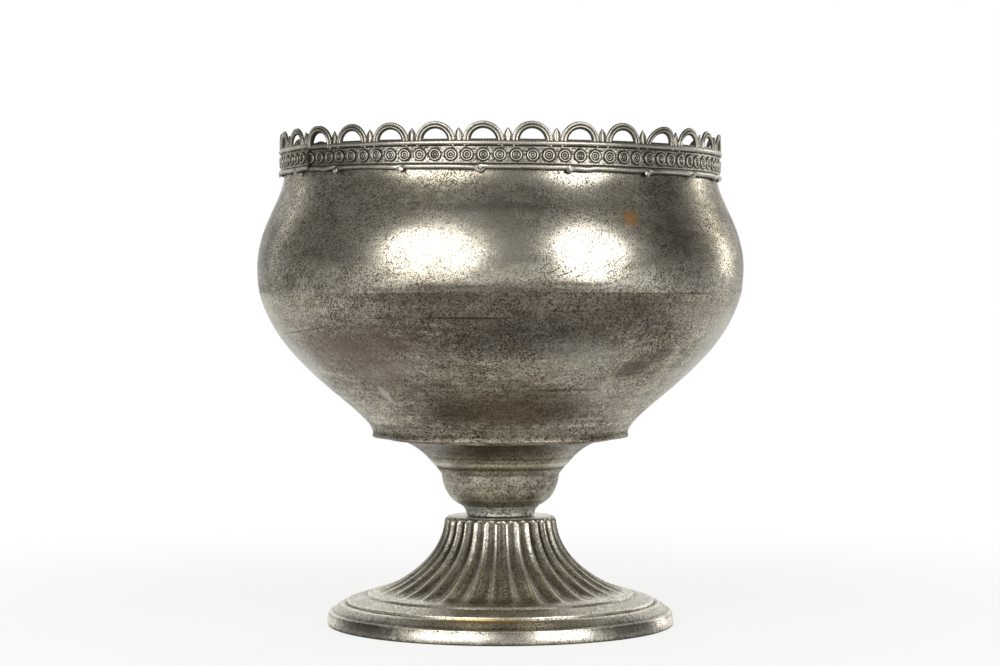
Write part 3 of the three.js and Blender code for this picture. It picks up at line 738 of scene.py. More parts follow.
def antique_metal(name, finish, tints, bump, marks=(), bump_distance=0.00012, edge=1.0):
    """A metal with the shared patina, its finish and its marks. A low edge dulls glancing gloss."""
    material = bpy.data.materials.new(name)
    material.use_nodes = True
    tree = material.node_tree
    place = tree.nodes.new("ShaderNodeTexCoord").outputs["Object"]
    relief = add_node(tree, "ShaderNodeAttribute", attribute_name="relief").outputs["Fac"]
    values = {label: tints[label.lower()] for label in ("Shadow", "Brown", "Pewter", "Rubbed")}
    for label, value in FINISHES[finish].items():
        if isinstance(value, tuple) and isinstance(value[0], str):
            value = tuple(value[1] * channel for channel in tints[value[0]])
        values[label] = value
    layers = use_group(tree, "patina", {"Place": place, "Relief": relief, **values})
    colour_now = layers["Color"]
    for mark in marks:
        colour_now = lay_mark(tree, place, colour_now, tints, *mark)
    heights = {"Strength": bump, "Distance": bump_distance, "Height": layers["Height"]}
    inputs = {
        "Base Color": colour_now,
        "Roughness": layers["Roughness"],
        "Metallic": 1.0,
        "Specular Tint": (edge, edge, 0.97 * edge),
        "Normal": add_node(tree, "ShaderNodeBump", heights).outputs["Normal"],
    }
    fill(tree, tree.nodes["Principled BSDF"], inputs)
    METALS[finish] = material


def make_metals(patina):
    """Every finish of the object."""
    tints = {label: tuple(getattr(patina, label)) for label in PatinaColours.__annotations__}
    tints.update(MARK_TINTS)
    antique_metal("upper_shell_metal", "upper", tints, 0.1, UPPER_MARKS, edge=0.7)
    antique_metal("lower_shell_metal", "lower", tints, 0.15, LOWER_MARKS)
    antique_metal("cup_metal", "cup", tints, 0.3, CUP_MARKS)
    antique_metal("foot_metal", "foot", tints, 0.3, FOOT_MARKS)
    antique_metal("gallery_metal", "gallery", tints, 0.3)
    antique_metal("collar_metal", "collar", tints, 0.7, bump_distance=0.0003)
    antique_metal("solder_metal", "solder", tints, 0.4)
    antique_metal("fixing_steel", "steel", tints, 0.15)


# ------------------------------------------------------------------ bowl
SHELL_SEGMENTS = 240
CUP_SEGMENTS = 180
COLLAR_SEGMENTS = 144


def seam_wander(around):
    """How far the seam strays from its level at an angle."""
    return 0.35 * MM * np.sin(2 * around + 0.7) + 0.22 * MM * np.sin(5 * around + 2.1)


def dent(points, depth):
    """Soft dents in a turned sheet, pushed in towards the axis."""
    flat = points.reshape(-1, 3)
    wide = soft_noise(flat, 0.055, 1)
    small = soft_noise(flat, 0.019, 2)
    push = depth * (0.5 + 0.36 * wide + 0.14 * small)
    outward = flat.copy()
    outward[:, 2] = 0
    outward /= np.linalg.norm(outward, axis=1)[:, None]
    return (flat - outward * push[:, None]).reshape(points.shape)


def turned_shell(outline, near_seam):
    """A shell turned from its outline, with a seam that strays and is darker than the rest."""
    points, faces = turned(outline, SHELL_SEGMENTS)
    points[..., 2] += near_seam[:, None] * seam_wander(full_turn(SHELL_SEGMENTS))
    return points, faces, 0.5 - 0.05 * bump_at(outline[:, 1], SEAM_LEVEL, 0.8 * MM)


def upper_outline(bowl):
    """The outer face of the upper shell, from the seam to the neck's rim."""
    seam = (bowl.seam_radius, SEAM_LEVEL + bowl.seam_gap)
    rolled = off((bowl.seam_radius, SEAM_LEVEL), -0.25, -0.05)
    belly = (bowl.belly_radius, bowl.belly_level)
    neck = (bowl.neck_radius, bowl.neck_level)
    return chain(
        straight(rolled, seam, 2),
        bezier(seam, off(seam, 0.7, 4), off(belly, 0, -5), belly, 12),
        bezier(belly, (belly[0], 0.20594), (neck[0], 0.21901), neck, 48),
        straight(neck, (bowl.neck_radius, NECK_TOP - 1.6 * MM), 6),
    )


def inner_face(outline, wall):
    """The inner face of a sheet, from the top down."""
    return (outline - normals_of(outline) * wall)[::-1]


def make_upper_shell(bowl):
    """The upper shell with its dents, and a lap that reaches down inside the lower shell."""
    outer = upper_outline(bowl)
    seam = (bowl.seam_radius, SEAM_LEVEL)
    lap = off(seam, -3.2, -4)
    inner = inner_face(outer[3:], bowl.wall)[::2]
    outline = chain([lap, off(seam, -1.7, -0.3)], outer, inner, [(lap[0] - bowl.wall, lap[1])])
    near_seam = 1 - smooth_step(outline[:, 1], SEAM_LEVEL, SEAM_LEVEL + 8 * MM)
    points, faces, relief = turned_shell(outline, near_seam)
    shape = Shape(dent(points, bowl.dent_depth), faces, np.repeat(relief, SHELL_SEGMENTS))
    dress("upper_shell", shape, "upper", "bowl_metal", "bowl_upper_shell")


def lower_outline(bowl):
    """The outer face of the lower shell, from the ledge to the seam."""
    foot_of_wall = off((bowl.ledge_radius, LEDGE_BOTTOM), -0.4, 2.1)
    seam = (bowl.seam_radius, SEAM_LEVEL)
    return chain(
        bezier(foot_of_wall, (0.0684, 0.1122), (0.1153, 0.1327), seam, 56),
        straight(seam, off(seam, -0.35, 0.02)),
    )


def make_lower_shell(bowl):
    """The lower shell with its ledge and flat floor."""
    outer = lower_outline(bowl)
    inner = inner_face(outer[:-1], bowl.wall)[::2]
    floor = LEDGE_BOTTOM + bowl.wall
    ledge = (bowl.ledge_radius, LEDGE_BOTTOM)
    under_edge = off(ledge, -0.45, 0)
    wall_foot = inner[-1]
    floor_edge = (wall_foot[0] - 3 * MM, floor)
    outline = chain(
        straight((ROD_HOLE, LEDGE_BOTTOM), under_edge, 16),
        bezier(under_edge, ledge, off(ledge, 0.1, 0.4), off(ledge, 0, 1.1), 6),
        outer,
        inner,
        bezier(
            wall_foot,
            (wall_foot[0] - 0.2 * MM, floor + 1 * MM),
            (wall_foot[0] - 1 * MM, floor),
            floor_edge,
            4,
        ),
        straight(floor_edge, (ROD_HOLE, floor), 12),
    )
    near_seam = smooth_step(outline[:, 1], SEAM_LEVEL - 8 * MM, SEAM_LEVEL)
    points, faces, relief = turned_shell(outline, near_seam)
    # Painted shade at the ledge under the bowl: its relief is lowered so it takes the shadow tint.
    relief = relief - 0.42 * bump_at(outline[:, 1], LEDGE_BOTTOM + 2.4 * MM, 1.8 * MM)
    flat = points.reshape(-1, 3)
    rough = np.clip(0.5 + 1.2 * soft_noise(flat, 2.4 * MM, 9), 0, 1)
    rough_line = 0.5 * bump_at(flat[:, 2], 105.4 * MM, 0.9 * MM) * rough
    relief = np.repeat(relief, SHELL_SEGMENTS) + rough_line
    shape = Shape(dent(points, bowl.dent_depth), faces, relief)
    dress("lower_shell", shape, "lower", "bowl_metal", "bowl_lower_shell")


# ------------------------------------------------------------------ cup and collar
# Rings turned into the cup: level, height (grooves are below zero) and width, in millimetres.
CUP_RINGS = (
    (83.6, 0.16, 1.2), (85.9, 0.06, 0.4), (65.2, 0.1, 0.6), (86.9, -0.10, 0.5), (81.4, -0.16, 0.7),
)
CUP_BASE_POINTS = 6


def cup_outline(stem):
    """The outer face of the cup, from its base to the rim, and the lift of its rings."""
    base = (stem.base_radius, CUP_BOTTOM)
    waist = (stem.waist_radius, stem.waist_level)
    rim = (stem.rim_radius, CUP_TOP - 1.2 * MM)
    side = chain(
        bezier(base, (28.78 * MM, 64.66 * MM), (30.26 * MM, 74.4 * MM), waist, 36),
        bezier(waist, (37.9 * MM, 87.1 * MM), (45.8 * MM, 96.0 * MM), rim, 44),
    )
    lift = np.zeros(len(side))
    for level, height, width in CUP_RINGS:
        lift += height * MM * bump_at(side[:, 1], level * MM, width * MM)
    return side + normals_of(side) * lift[:, None], lift


def make_cup(stem):
    """The spun cup with its turned rings."""
    outer, lift = cup_outline(stem)
    inner = inner_face(outer, stem.wall)[::2]
    inner = inner[(inner[:, 1] < CUP_TOP - 0.6 * MM) & (inner[:, 1] > CUP_BOTTOM + 2 * MM)]
    floor = CUP_BOTTOM + stem.wall
    outline = chain(
        straight((ROD_HOLE, CUP_BOTTOM), outer[0], CUP_BASE_POINTS),
        outer,
        [(stem.rim_radius, CUP_TOP), (inner[0][0] + 1 * MM, CUP_TOP)],
        inner,
        straight((inner[-1][0] - 1 * MM, floor), (ROD_HOLE, floor), 6),
    )
    points, faces = turned(outline, CUP_SEGMENTS)
    first = CUP_BASE_POINTS
    relief = np.full(len(outline), 0.5)
    relief[first : first + len(lift)] += np.clip(lift / (0.3 * MM), -0.4, 0.45)
    relief[first : first + 4] = 0.25
    shape = Shape(dent(points, 0.15 * MM), faces, np.repeat(relief, CUP_SEGMENTS))
    dress("spun_cup", shape, "cup", "cup_metal", "stem_cup")


def collar_lip(around):
    """How far the collar's metal climbs the cup at an angle: most at the front and the right."""
    front = bump_at(turn_apart(around, math.radians(15)), 0, 0.9)
    return (0.35 + 1.25 * front + 0.18 * np.sin(5 * around)) * MM


def make_collar(stem):
    """The cast collar, with a thin lip that laps the cup's base."""
    waist = (stem.collar_waist_radius, COLLAR_BOTTOM + 0.02 * MM)
    top = (stem.collar_top_radius, COLLAR_TOP)
    side = chain(
        bezier(off(waist, -1.4, 0), off(waist, -0.2, 0), off(waist, 0, 0.4), off(waist, 0, 1.4), 6),
        bezier(off(waist, 0, 1.4), off(waist, 0.1, 3), off(top, -0.7, -1), top, 10),
    )
    outline = chain(
        straight((ROD_HOLE, waist[1]), side[0], 6),
        side,
        straight(off(top, 0.35, 0.1), off(top, 0.3, 0.35)),
        straight(off(top, -0.6, 0.1), (ROD_HOLE, top[1]), 6),
    )
    points, faces = turned(outline, COLLAR_SEGMENTS)
    around = full_turn(COLLAR_SEGMENTS)
    climb = collar_lip(around)
    on_lip = (outline[:, 1] > top[1] + 0.05 * MM) & (outline[:, 0] > top[0] - 0.1 * MM)
    points[on_lip] += on_circle(1.05 * climb, around, climb)
    flat = points.reshape(-1, 3)
    rough = 0.16 * MM * soft_noise(flat, 2.2 * MM, 5) + 0.22 * MM * soft_noise(flat, 7 * MM, 6)
    outward = on_circle(1.0, np.arctan2(flat[:, 0], -flat[:, 1]), 0)
    on_side = smooth_step(np.hypot(flat[:, 0], flat[:, 1]), waist[0] - 1.5 * MM, waist[0])
    shape = Shape(flat + outward * (rough * on_side)[:, None], faces, 0.5)
    dress("cast_collar", shape, "collar", "collar_metal", "collar")


# ------------------------------------------------------------------ foot
POINTS_PER_FLUTE = 16
# Where the foot is rubbed or dark, with a painted highlight on the outer moulding's crest and a painted
# contact shadow at the band's foot: level, the radius it lies off and how far in millimetres, the
# change of relief, and how tall it is.
FOOT_WEAR_AND_PAINTED_LIGHT = (
    (11.5, "notch_radius", 0.1, -0.4, 0.6),
    (12.7, "notch_radius", -0.3, 0.3, 0.4),
    (15.15, "groove_radius", 0.3, -0.35, 0.5),
    (16.25, "groove_radius", -0.9, 0.2, 0.5),
    (17.4, "groove_radius", -3.5, 0.3, 1.0),
    # Partly rubbed wear, partly painted highlight on the outer moulding's crest.
    (11.2, "notch_radius", 2.4, 0.4, 0.35),
    (7.15, "radius", -1.3, 0.6, 0.3),
    (6.3, "radius", -0.9, -0.4, 0.3),
    (7.9, "radius", -3.0, -0.35, 0.45),
    (3.6, "radius", -0.1, 0.15, 1.6),
    # Painted contact shadow along the band's foot on the table.
    (0.4, "radius", -0.3, -0.75, 0.8),
)


def base_outline(foot):
    """The rounded band and the two mouldings, up to the groove round the fluted field."""
    table, band = (foot.radius, 0), (foot.radius, foot.band_height)
    notch, groove = (foot.notch_radius, 0), (foot.groove_radius, 0)
    widest = (foot.radius, 1.9 * MM)
    lean, ridge, hollow = off(band, -0.85, -0.55), off(band, -1.3, 0.3), off(band, -2.1, 0.55)
    crest, dip, lip = off(notch, 2.0, 11.35), off(notch, 0.1, 11.0), off(notch, -0.35, 12.75)
    step, trough, field_edge = (
        off(groove, 1.7, 15.2), off(groove, 0.6, 14.75), off(groove, -0.8, 16.35)
    )
    return chain(
        straight(off(table, -0.9, 0), off(table, -0.4, 0.2), 3),
        bezier(off(table, -0.4, 0.2), off(table, -0.1, 0.6), widest, widest, 8),
        bezier(widest, (widest[0], 3.4 * MM), off(lean, 0.35, -1.4), lean, 12),
        bezier(lean, (lean[0] - 0.1 * MM, band[1] + 0.1 * MM), off(ridge, 0.2, 0.1), ridge, 6),
        bezier(ridge, off(ridge, -0.3, -0.1), off(hollow, 0.4, 0), hollow, 4),
        bezier(hollow, (hollow[0] - 1.9 * MM, 8.5 * MM), (crest[0] + 2.0 * MM, 10.9 * MM), crest, 20),
        bezier(crest, off(notch, 1.2, 11.6), off(notch, 0.5, 11.4), dip, 8),
        bezier(dip, off(notch, -0.2, 11.1), off(notch, 0.1, 12.6), lip, 9),
        bezier(lip, off(notch, -3.0, 13.5), off(groove, 3.6, 14.9), step, 18),
        bezier(step, off(groove, 1.2, 15.3), off(groove, 0.9, 14.8), trough, 5),
        bezier(trough, off(groove, 0.1, 14.7), off(groove, -0.1, 16.1), field_edge, 9),
    )


def field_outline(foot, inset=0.0):
    """The fluted field, from its edge up to the shoulder."""
    edge = (foot.groove_radius - 0.8 * MM - inset, 16.35 * MM - inset)
    shoulder = (foot.shoulder_radius - inset, 53.0 * MM - inset / 2)
    count = 74 if inset == 0 else 20
    return bezier(edge, off(edge, -16.0, 3.3), off(shoulder, 1.7, -19.5), shoulder, count)


def under_outline(foot):
    """The hollow underside, from the rod's hole out and down to the table."""
    roof = FOOT_TOP - foot.wall
    field = field_outline(foot, foot.wall)[::-1]
    hollow = (foot.radius - 3.1 * MM, foot.band_height)
    return chain(
        straight((ROD_HOLE, roof), (field[0][0] - 2 * MM, roof), 6),
        field,
        straight(off(hollow, -2, -1.2), off(hollow, 0, -2.6), 2),
        straight(off(hollow, 0, -2.6), (hollow[0], 0), 4),
    )


def make_foot(foot):
    """The cast foot: band, mouldings, flutes with round tops, flat top and hollow underside."""
    base, field = base_outline(foot), field_outline(foot)
    top_edge = (foot.top_radius, FOOT_TOP - 0.05 * MM)
    shoulder = bezier(
        field[-1],
        off((foot.shoulder_radius, FOOT_TOP), -0.2, -1.4),
        off((foot.top_radius, FOOT_TOP), 1.2, -0.1),
        top_edge,
        10,
    )
    disc_level = FOOT_TOP - 0.12 * MM
    disc = straight((foot.top_radius - 0.8 * MM, disc_level), (ROD_HOLE, disc_level), 10)
    outline = chain(base, field, shoulder, disc, under_outline(foot))
    segments = POINTS_PER_FLUTE * foot.flutes
    points, faces = turned(outline, segments, foot.flute_phase)
    around = full_turn(segments, foot.flute_phase)
    across = np.abs(2 * ((np.arange(segments) % POINTS_PER_FLUTE) / POINTS_PER_FLUTE) - 1)
    scoop = 1 - np.clip(across / (1 - foot.ridge), 0, 1) ** 2
    first, last = len(base) - 1, len(base) + len(field) + len(shoulder) - 3
    outward = normals_of(outline)
    relief = np.full((len(outline), segments), 0.5)
    run = np.concatenate([[0], np.cumsum(np.linalg.norm(np.diff(outline, axis=0), axis=1))])
    flute_top = run[last - 3]
    for row in range(first, last):
        radius = outline[row, 0]
        half_width = math.pi * radius / foot.flutes
        rounded = half_width * (1 - np.sqrt(np.clip(1 - across**2, 0, 1)))
        from_top = flute_top - run[row] - 0.8 * rounded
        depth = smooth_step(from_top, 0, 1.8 * MM) * (1 - smooth_step(radius, 55 * MM, 68.2 * MM))
        sunk = foot.flute_depth * scoop * depth
        points[row] -= on_circle(outward[row][0] * sunk, around, outward[row][1] * sunk)
        # Flute hollows are dark with oxide, and more so towards the top, where the extra dark is
        # painted shade.
        in_hollow = 0.2 + 0.3 * smooth_step(outline[row, 1], 24 * MM, 46 * MM)
        relief[row] = 0.55 - in_hollow * scoop**1.5 * depth + 0.45 * (1 - scoop) ** 2.5 * depth
    relief[: len(base)] += 0.25
    for level, beside, offset, change, tall in FOOT_WEAR_AND_PAINTED_LIGHT:
        across_gap = (outline[:, 0] - (getattr(foot, beside) + offset * MM)) / (3 * tall * MM)
        up_gap = (outline[:, 1] - level * MM) / (tall * MM)
        relief += change * bump_at(np.hypot(across_gap, up_gap), 0, 1)[:, None]
    relief[last : last + len(disc)] = 0.95
    relief[last + len(disc) :] = 0.3
    flat = points.reshape(-1, 3)
    uneven = 0.10 * MM * soft_noise(flat, 9 * MM, 8)
    between = smooth_step(flat[:, 2], 2 * MM, 8 * MM) * (1 - smooth_step(flat[:, 2], 50 * MM, 54 * MM))
    flat[:, 2] += uneven * between
    shape = Shape(flat, faces, np.clip(relief, 0, 1).ravel())
    dress("fluted_foot", shape, "foot", "foot_metal", "foot")


# ------------------------------------------------------------------ gallery strips
# The band, as (height above its lower edge, relief above its back, wear from 0 dark to 1 rubbed).
BAND_PROFILE = (
    (0.00, 0.40, 0.1), (0.06, 0.70, 0.1), (0.25, 1.00, 0.2), (0.60, 1.36, 0.4), (1.05, 1.64, 0.8),
    (1.50, 1.74, 1.0), (1.95, 1.66, 1.0), (2.30, 1.36, 0.8), (2.58, 0.96, 0.3), (2.78, 0.66, 0.0),
    (2.95, 0.56, 0.0), (3.12, 0.62, 0.4), (3.30, 0.70, 0.7),
    (10.85, 0.70, 0.7), (11.00, 0.60, 0.3), (11.15, 0.54, 0.0), (11.35, 0.70, 0.0), (11.60, 1.05, 0.1),
    (11.95, 1.42, 0.35), (12.40, 1.70, 0.8), (12.90, 1.76, 1.0), (13.35, 1.62, 1.0), (13.75, 1.34, 0.8),
    (14.02, 1.02, 0.3), (14.25, 0.86, 0.15), (14.50, 0.80, 0.3), (14.66, 0.74, 0.3), (14.70, 0.50, 0.1),
)
BAND_BACK = ((14.6, 0.1, 0.3), (0.1, 0.1, 0.3))
# An arch's ring, as (distance in from its outer edge, relief above its back, wear).
ARCH_PROFILE = (
    (0.00, 0.30, 0.1), (0.05, 0.74, 0.2), (0.18, 0.98, 0.8), (0.42, 1.16, 1.0), (0.75, 1.22, 0.9),
    (1.05, 1.12, 0.75), (1.30, 0.92, 0.4), (1.48, 0.76, 0.1), (1.64, 0.78, 0.1), (1.84, 1.06, 0.6),
    (2.08, 1.32, 1.0), (2.36, 1.38, 1.0), (2.62, 1.20, 0.8), (2.82, 0.84, 0.3), (2.96, 0.58, 0.0),
    (3.20, 0.48, 0.0), (3.48, 0.46, 0.05), (3.62, 0.40, 0.1), (3.66, 0.20, 0.1),
)
ARCH_BACK = ((3.5, 0.1, 0.2), (0.1, 0.1, 0.2))
# A roundel, as (distance from its middle, relief above the ground, wear).
ROUNDEL_PROFILE = (
    (0.00, 0.50, 0.9), (0.28, 0.46, 0.8), (0.50, 0.18, 0.2), (0.66, 0.00, 0.0), (0.90, 0.02, 0.0),
    (1.08, 0.22, 0.5), (1.26, 0.34, 0.9), (1.44, 0.22, 0.5), (1.58, 0.00, 0.0), (1.84, -0.02, 0.0),
    (1.98, 0.30, 0.3), (2.16, 0.68, 0.9), (2.38, 0.82, 1.0), (2.60, 0.76, 1.0), (2.78, 0.40, 0.4),
    (2.92, -0.05, 0.0), (3.05, -0.35, 0.0),
)
# The stippled ground between the beads: its lowest and highest level, and its relief.
FIELD = (3.3, 10.85)
GROUND_RELIEF = 0.66 * MM
# Places counted in arches from the one at the front.
JOINTS = {"left": -4.5, "right": 5.17, "back": 15.5}
BROKEN_ARCH = 5
# Arches near the front stand a little wider apart than the rest: how many to a side, and how much.
WIDE_ARCHES, WIDENING = 5.5, 1.022
# Dull places of the strips: degrees, how dull, and half width in radians.
DULL_PLACES = ((-50, 0.6, 0.36), (36, 0.45, 0.2))
# Half width of the press of a solder tack, in radians.
TACK_PRESS = 0.017
POINTS_PER_ARCH = 48
ROUNDEL_STEPS = 28
# The highest level of a strip above its lower edge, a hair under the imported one.
STRIP_REACH = STRIP_TIP - STRIP_BOTTOM - 0.03 * MM


class Strip:
    """The way from flat strip places to the round neck, with the strip's wear and bends."""

    def __init__(self, gallery, tack_angles, lap=None):
        self.lap = lap
        self.gallery = gallery
        self.tack_angles = tack_angles
        self.pitch = 2 * math.pi / gallery.arches
        self.per_metre = 1 / (self.pitch * gallery.ground_radius)

    def angle_of(self, arch):
        """The angle of a place counted in arches from the first one."""
        arch = np.asarray(arch, float)
        half = self.gallery.arches / 2
        away = (arch + half) % (2 * half) - half
        rest = (half - WIDE_ARCHES * WIDENING) / (half - WIDE_ARCHES)
        beyond = np.maximum(np.abs(away) - WIDE_ARCHES, 0)
        stretched = np.minimum(np.abs(away), WIDE_ARCHES) * WIDENING + beyond * rest
        return self.gallery.phase + (arch - away + np.sign(away) * stretched) * self.pitch

    def lay(self, shape, arches, heights, relief, faces, wear):
        """Adds a flat patch to a shape, wrapped round the neck, with its dull places."""
        around = self.angle_of(arches)
        dull = sum(
            depth * bump_at(turn_apart(around, math.radians(degrees)), 0, width)
            for degrees, depth, width in DULL_PLACES
        )
        shape.add(self.wrap(arches, heights, relief), faces, np.ravel(wear * (1 - dull)))

    def wrap(self, arches, height, relief):
        """Flat places, with their length in arches, as points round the neck.

        The lower edge waves, is dragged up and down beside the tacks and pressed in under them. The
        end that laps over the next strip stands off it.
        """
        around = self.angle_of(arches)
        height, relief = np.asarray(height, float), np.asarray(relief, float)
        top = STRIP_TIP - STRIP_BOTTOM
        slope = self.gallery.tilt * (1 - height / top) * -np.sin(around)
        wave = 0.14 * MM * np.sin(7 * around + 0.4) + 0.10 * MM * np.sin(17 * around)
        near_edge = np.clip(1 - (height - 2.0 * MM) / (1.6 * MM), 0, 1)
        drop = np.zeros_like(around)
        press = np.zeros_like(around)
        for i, centre in enumerate(self.tack_angles):
            apart = turn_apart(around, centre)
            step = np.tanh(apart / 0.008) * bump_at(apart, 0, 0.05)
            drop += (0.34 + 0.14 * math.sin(3.1 * i)) * MM * step * (-1) ** (i // 2)
            drop += 0.5 * MM * bump_at(apart, 0.075 * (-1) ** i, 0.03) * (i % 3 == 1)
            press += bump_at(apart, 0, TACK_PRESS)
        relief = relief * (1 - 0.45 * np.clip(press, 0, 1) * near_edge)
        level = STRIP_BOTTOM + height + slope + (wave - drop) * near_edge
        swell = 0.22 * MM * np.sin(3 * around + 1.2) * (1 - height / top)
        if self.lap is not None:
            near_lap = bump_at(np.asarray(arches, float), self.lap, 0.7)
            swell = swell + 0.9 * MM * near_lap
            level = level + 0.45 * MM * near_lap
        level = np.minimum(level, STRIP_TIP - 0.03 * MM)
        return on_circle(self.gallery.ground_radius + relief + swell, around, level)


def make_band(strip, shape, first, last):
    """The band of a strip between two joints: both beads and the stippled ground."""
    gallery = strip.gallery
    columns = np.linspace(first, last, int(round((last - first) * POINTS_PER_ARCH)) + 1)
    ground_rows = [(height, 0.66, 0.5) for height in np.linspace(*FIELD, 22)[1:-1]]
    low_bead = [row for row in BAND_PROFILE if row[0] <= FIELD[0]]
    high_bead = [row for row in BAND_PROFILE if row[0] >= FIELD[1]]
    rows = np.array(low_bead + ground_rows + high_bead + list(BAND_BACK))
    arches, heights = np.meshgrid(columns, rows[:, 0] * MM)
    relief = np.repeat(rows[:, 1][:, None] * MM, len(columns), axis=1)
    wear = np.repeat(rows[:, 2][:, None], len(columns), axis=1)
    spacing = 1 / gallery.roundels
    along = (arches - np.round(arches / spacing) * spacing) / strip.per_metre
    middle = (FIELD[0] + FIELD[1]) / 2 * MM
    away = np.hypot(along, heights - middle)
    on_front = relief > 0.3 * MM
    in_field = (heights > (FIELD[0] + 0.05) * MM) & (heights < (FIELD[1] - 0.05) * MM) & on_front
    raised = smooth_step(away, 3.15 * MM, 3.65 * MM)
    flat = np.stack([arches / strip.per_metre, heights, 0 * heights], axis=-1).reshape(-1, 3)
    stipple = soft_noise(flat, 0.75 * MM, 3).reshape(arches.shape)
    ground = GROUND_RELIEF - 0.20 * MM + raised * (0.18 * MM + 0.2 * MM * stipple)
    relief = np.where(in_field, ground, relief)
    wear = np.where(in_field, raised * np.clip(0.42 + 1.2 * stipple, 0, 1), wear)
    handling = soft_noise(flat, 6 * MM, 4).reshape(arches.shape)
    relief = relief + np.where(relief > 0.3 * MM, 0.06 * MM * handling, 0)
    faces = grid_faces(len(rows), len(columns), True, False).tolist()
    start = [row * len(columns) for row in range(len(rows))]
    faces += [start, [i + len(columns) - 1 for i in reversed(start)]]
    strip.lay(shape, arches, heights, relief, faces, wear)
    return middle


def make_roundels(strip, shape, first, last, middle):
    """The roundels between two joints: a ring, a thin ring inside it and a middle dot."""
    spacing = 1 / strip.gallery.roundels
    reach = strip.gallery.roundel_radius * strip.per_metre
    profile = np.array(ROUNDEL_PROFILE[1:])
    dot = ROUNDEL_PROFILE[0]
    steps = ROUNDEL_STEPS
    turn = full_turn(steps)
    for n in range(math.ceil((first + reach) / spacing), math.floor((last - reach) / spacing) + 1):
        chance = random.Random(1000 + n)
        centre = n * spacing
        size = (1 + 0.03 * chance.uniform(-1, 1)) * MM
        worn = 1 - 0.35 * chance.random()
        crushed = 1 - 0.6 * chance.random()
        lift = worn * profile[:, 1] * np.where(profile[:, 0] < 1.7, crushed, 1) * MM
        arches = centre + size * np.outer(profile[:, 0], np.sin(turn)) * strip.per_metre
        heights = middle + size * np.outer(profile[:, 0], np.cos(turn))
        relief = GROUND_RELIEF - 0.05 * MM + np.repeat(lift[:, None], steps, axis=1)
        wear = np.repeat(profile[:, 2][:, None], steps, axis=1)
        faces = grid_faces(len(profile), steps, False, True).tolist()
        tip = len(profile) * steps
        faces += [[(i + 1) % steps, i, tip] for i in range(steps)]
        faces.append([(len(profile) - 1) * steps + i for i in range(steps)])
        strip.lay(
            shape,
            np.append(arches.ravel(), centre),
            np.append(heights.ravel(), middle),
            np.append(relief.ravel(), GROUND_RELIEF + worn * crushed * dot[1] * MM),
            faces,
            np.append(wear.ravel(), dot[2] * crushed),
        )


# Bent arches by number: how far the top leans, sags and bows outwards, in millimetres.
ARCH_BENDS = {
    4: (1.3, 0.9, 0.6),
    5: (0.2, 0.5, 0.3),
    6: (-0.3, 0.9, -0.6),
    7: (0.2, 1.2, 0.5),
    -5: (0.4, 0.3, 0.9),
    -6: (0.6, 0.2, -0.9),
}


def make_arch(strip, shape, number, start, stop):
    """One arch of the arcade, from one angle of its ring to another."""
    gallery = strip.gallery
    chance = random.Random(200 + number)
    sound = (0.15 * chance.uniform(-1, 1), 0.12 * chance.random(), 0.3 * chance.uniform(-1, 1))
    lean, sag, bow = (bend * MM for bend in ARCH_BENDS.get(number, sound))
    profile = np.array(ARCH_PROFILE + ARCH_BACK)
    steps = max(8, int(abs(stop - start) / math.radians(2.1)))
    turn = np.linspace(start, stop, steps + 1)
    ring = gallery.arch_radius - profile[:, 0] * MM
    centre = gallery.bead_top - gallery.arch_sink
    along = np.outer(np.cos(turn), ring)
    up = np.outer(np.sin(turn), ring)
    climb = np.clip(up / gallery.arch_radius, 0, 1)
    along += lean * climb * 2
    heights = centre + up * (1 - sag / gallery.arch_radius)
    heights = np.minimum(heights, STRIP_REACH)
    hatch = np.sin(turn[:, None] * 42 + profile[None, :, 0] * 5.0)
    on_hatch = bump_at(profile[:, 0], 1.15, 0.4) * (profile[:, 1] > 0.3)
    relief = (profile[:, 1] + 0.13 * on_hatch * hatch) * MM + bow * climb**2
    arches = number + along * strip.per_metre
    wear = np.clip(profile[:, 2] + 0.3 * on_hatch * hatch, 0, 1)
    strip.lay(shape, arches, heights, relief, capped_tube(steps + 1, len(profile)), wear)


# A bud's outline from foot to tip, as a share of its greatest half width.
BUD_OUTLINE = (0.70, 0.82, 0.90, 0.96, 1.00, 0.98, 0.90, 0.78, 0.62, 0.44, 0.24, 0.03)


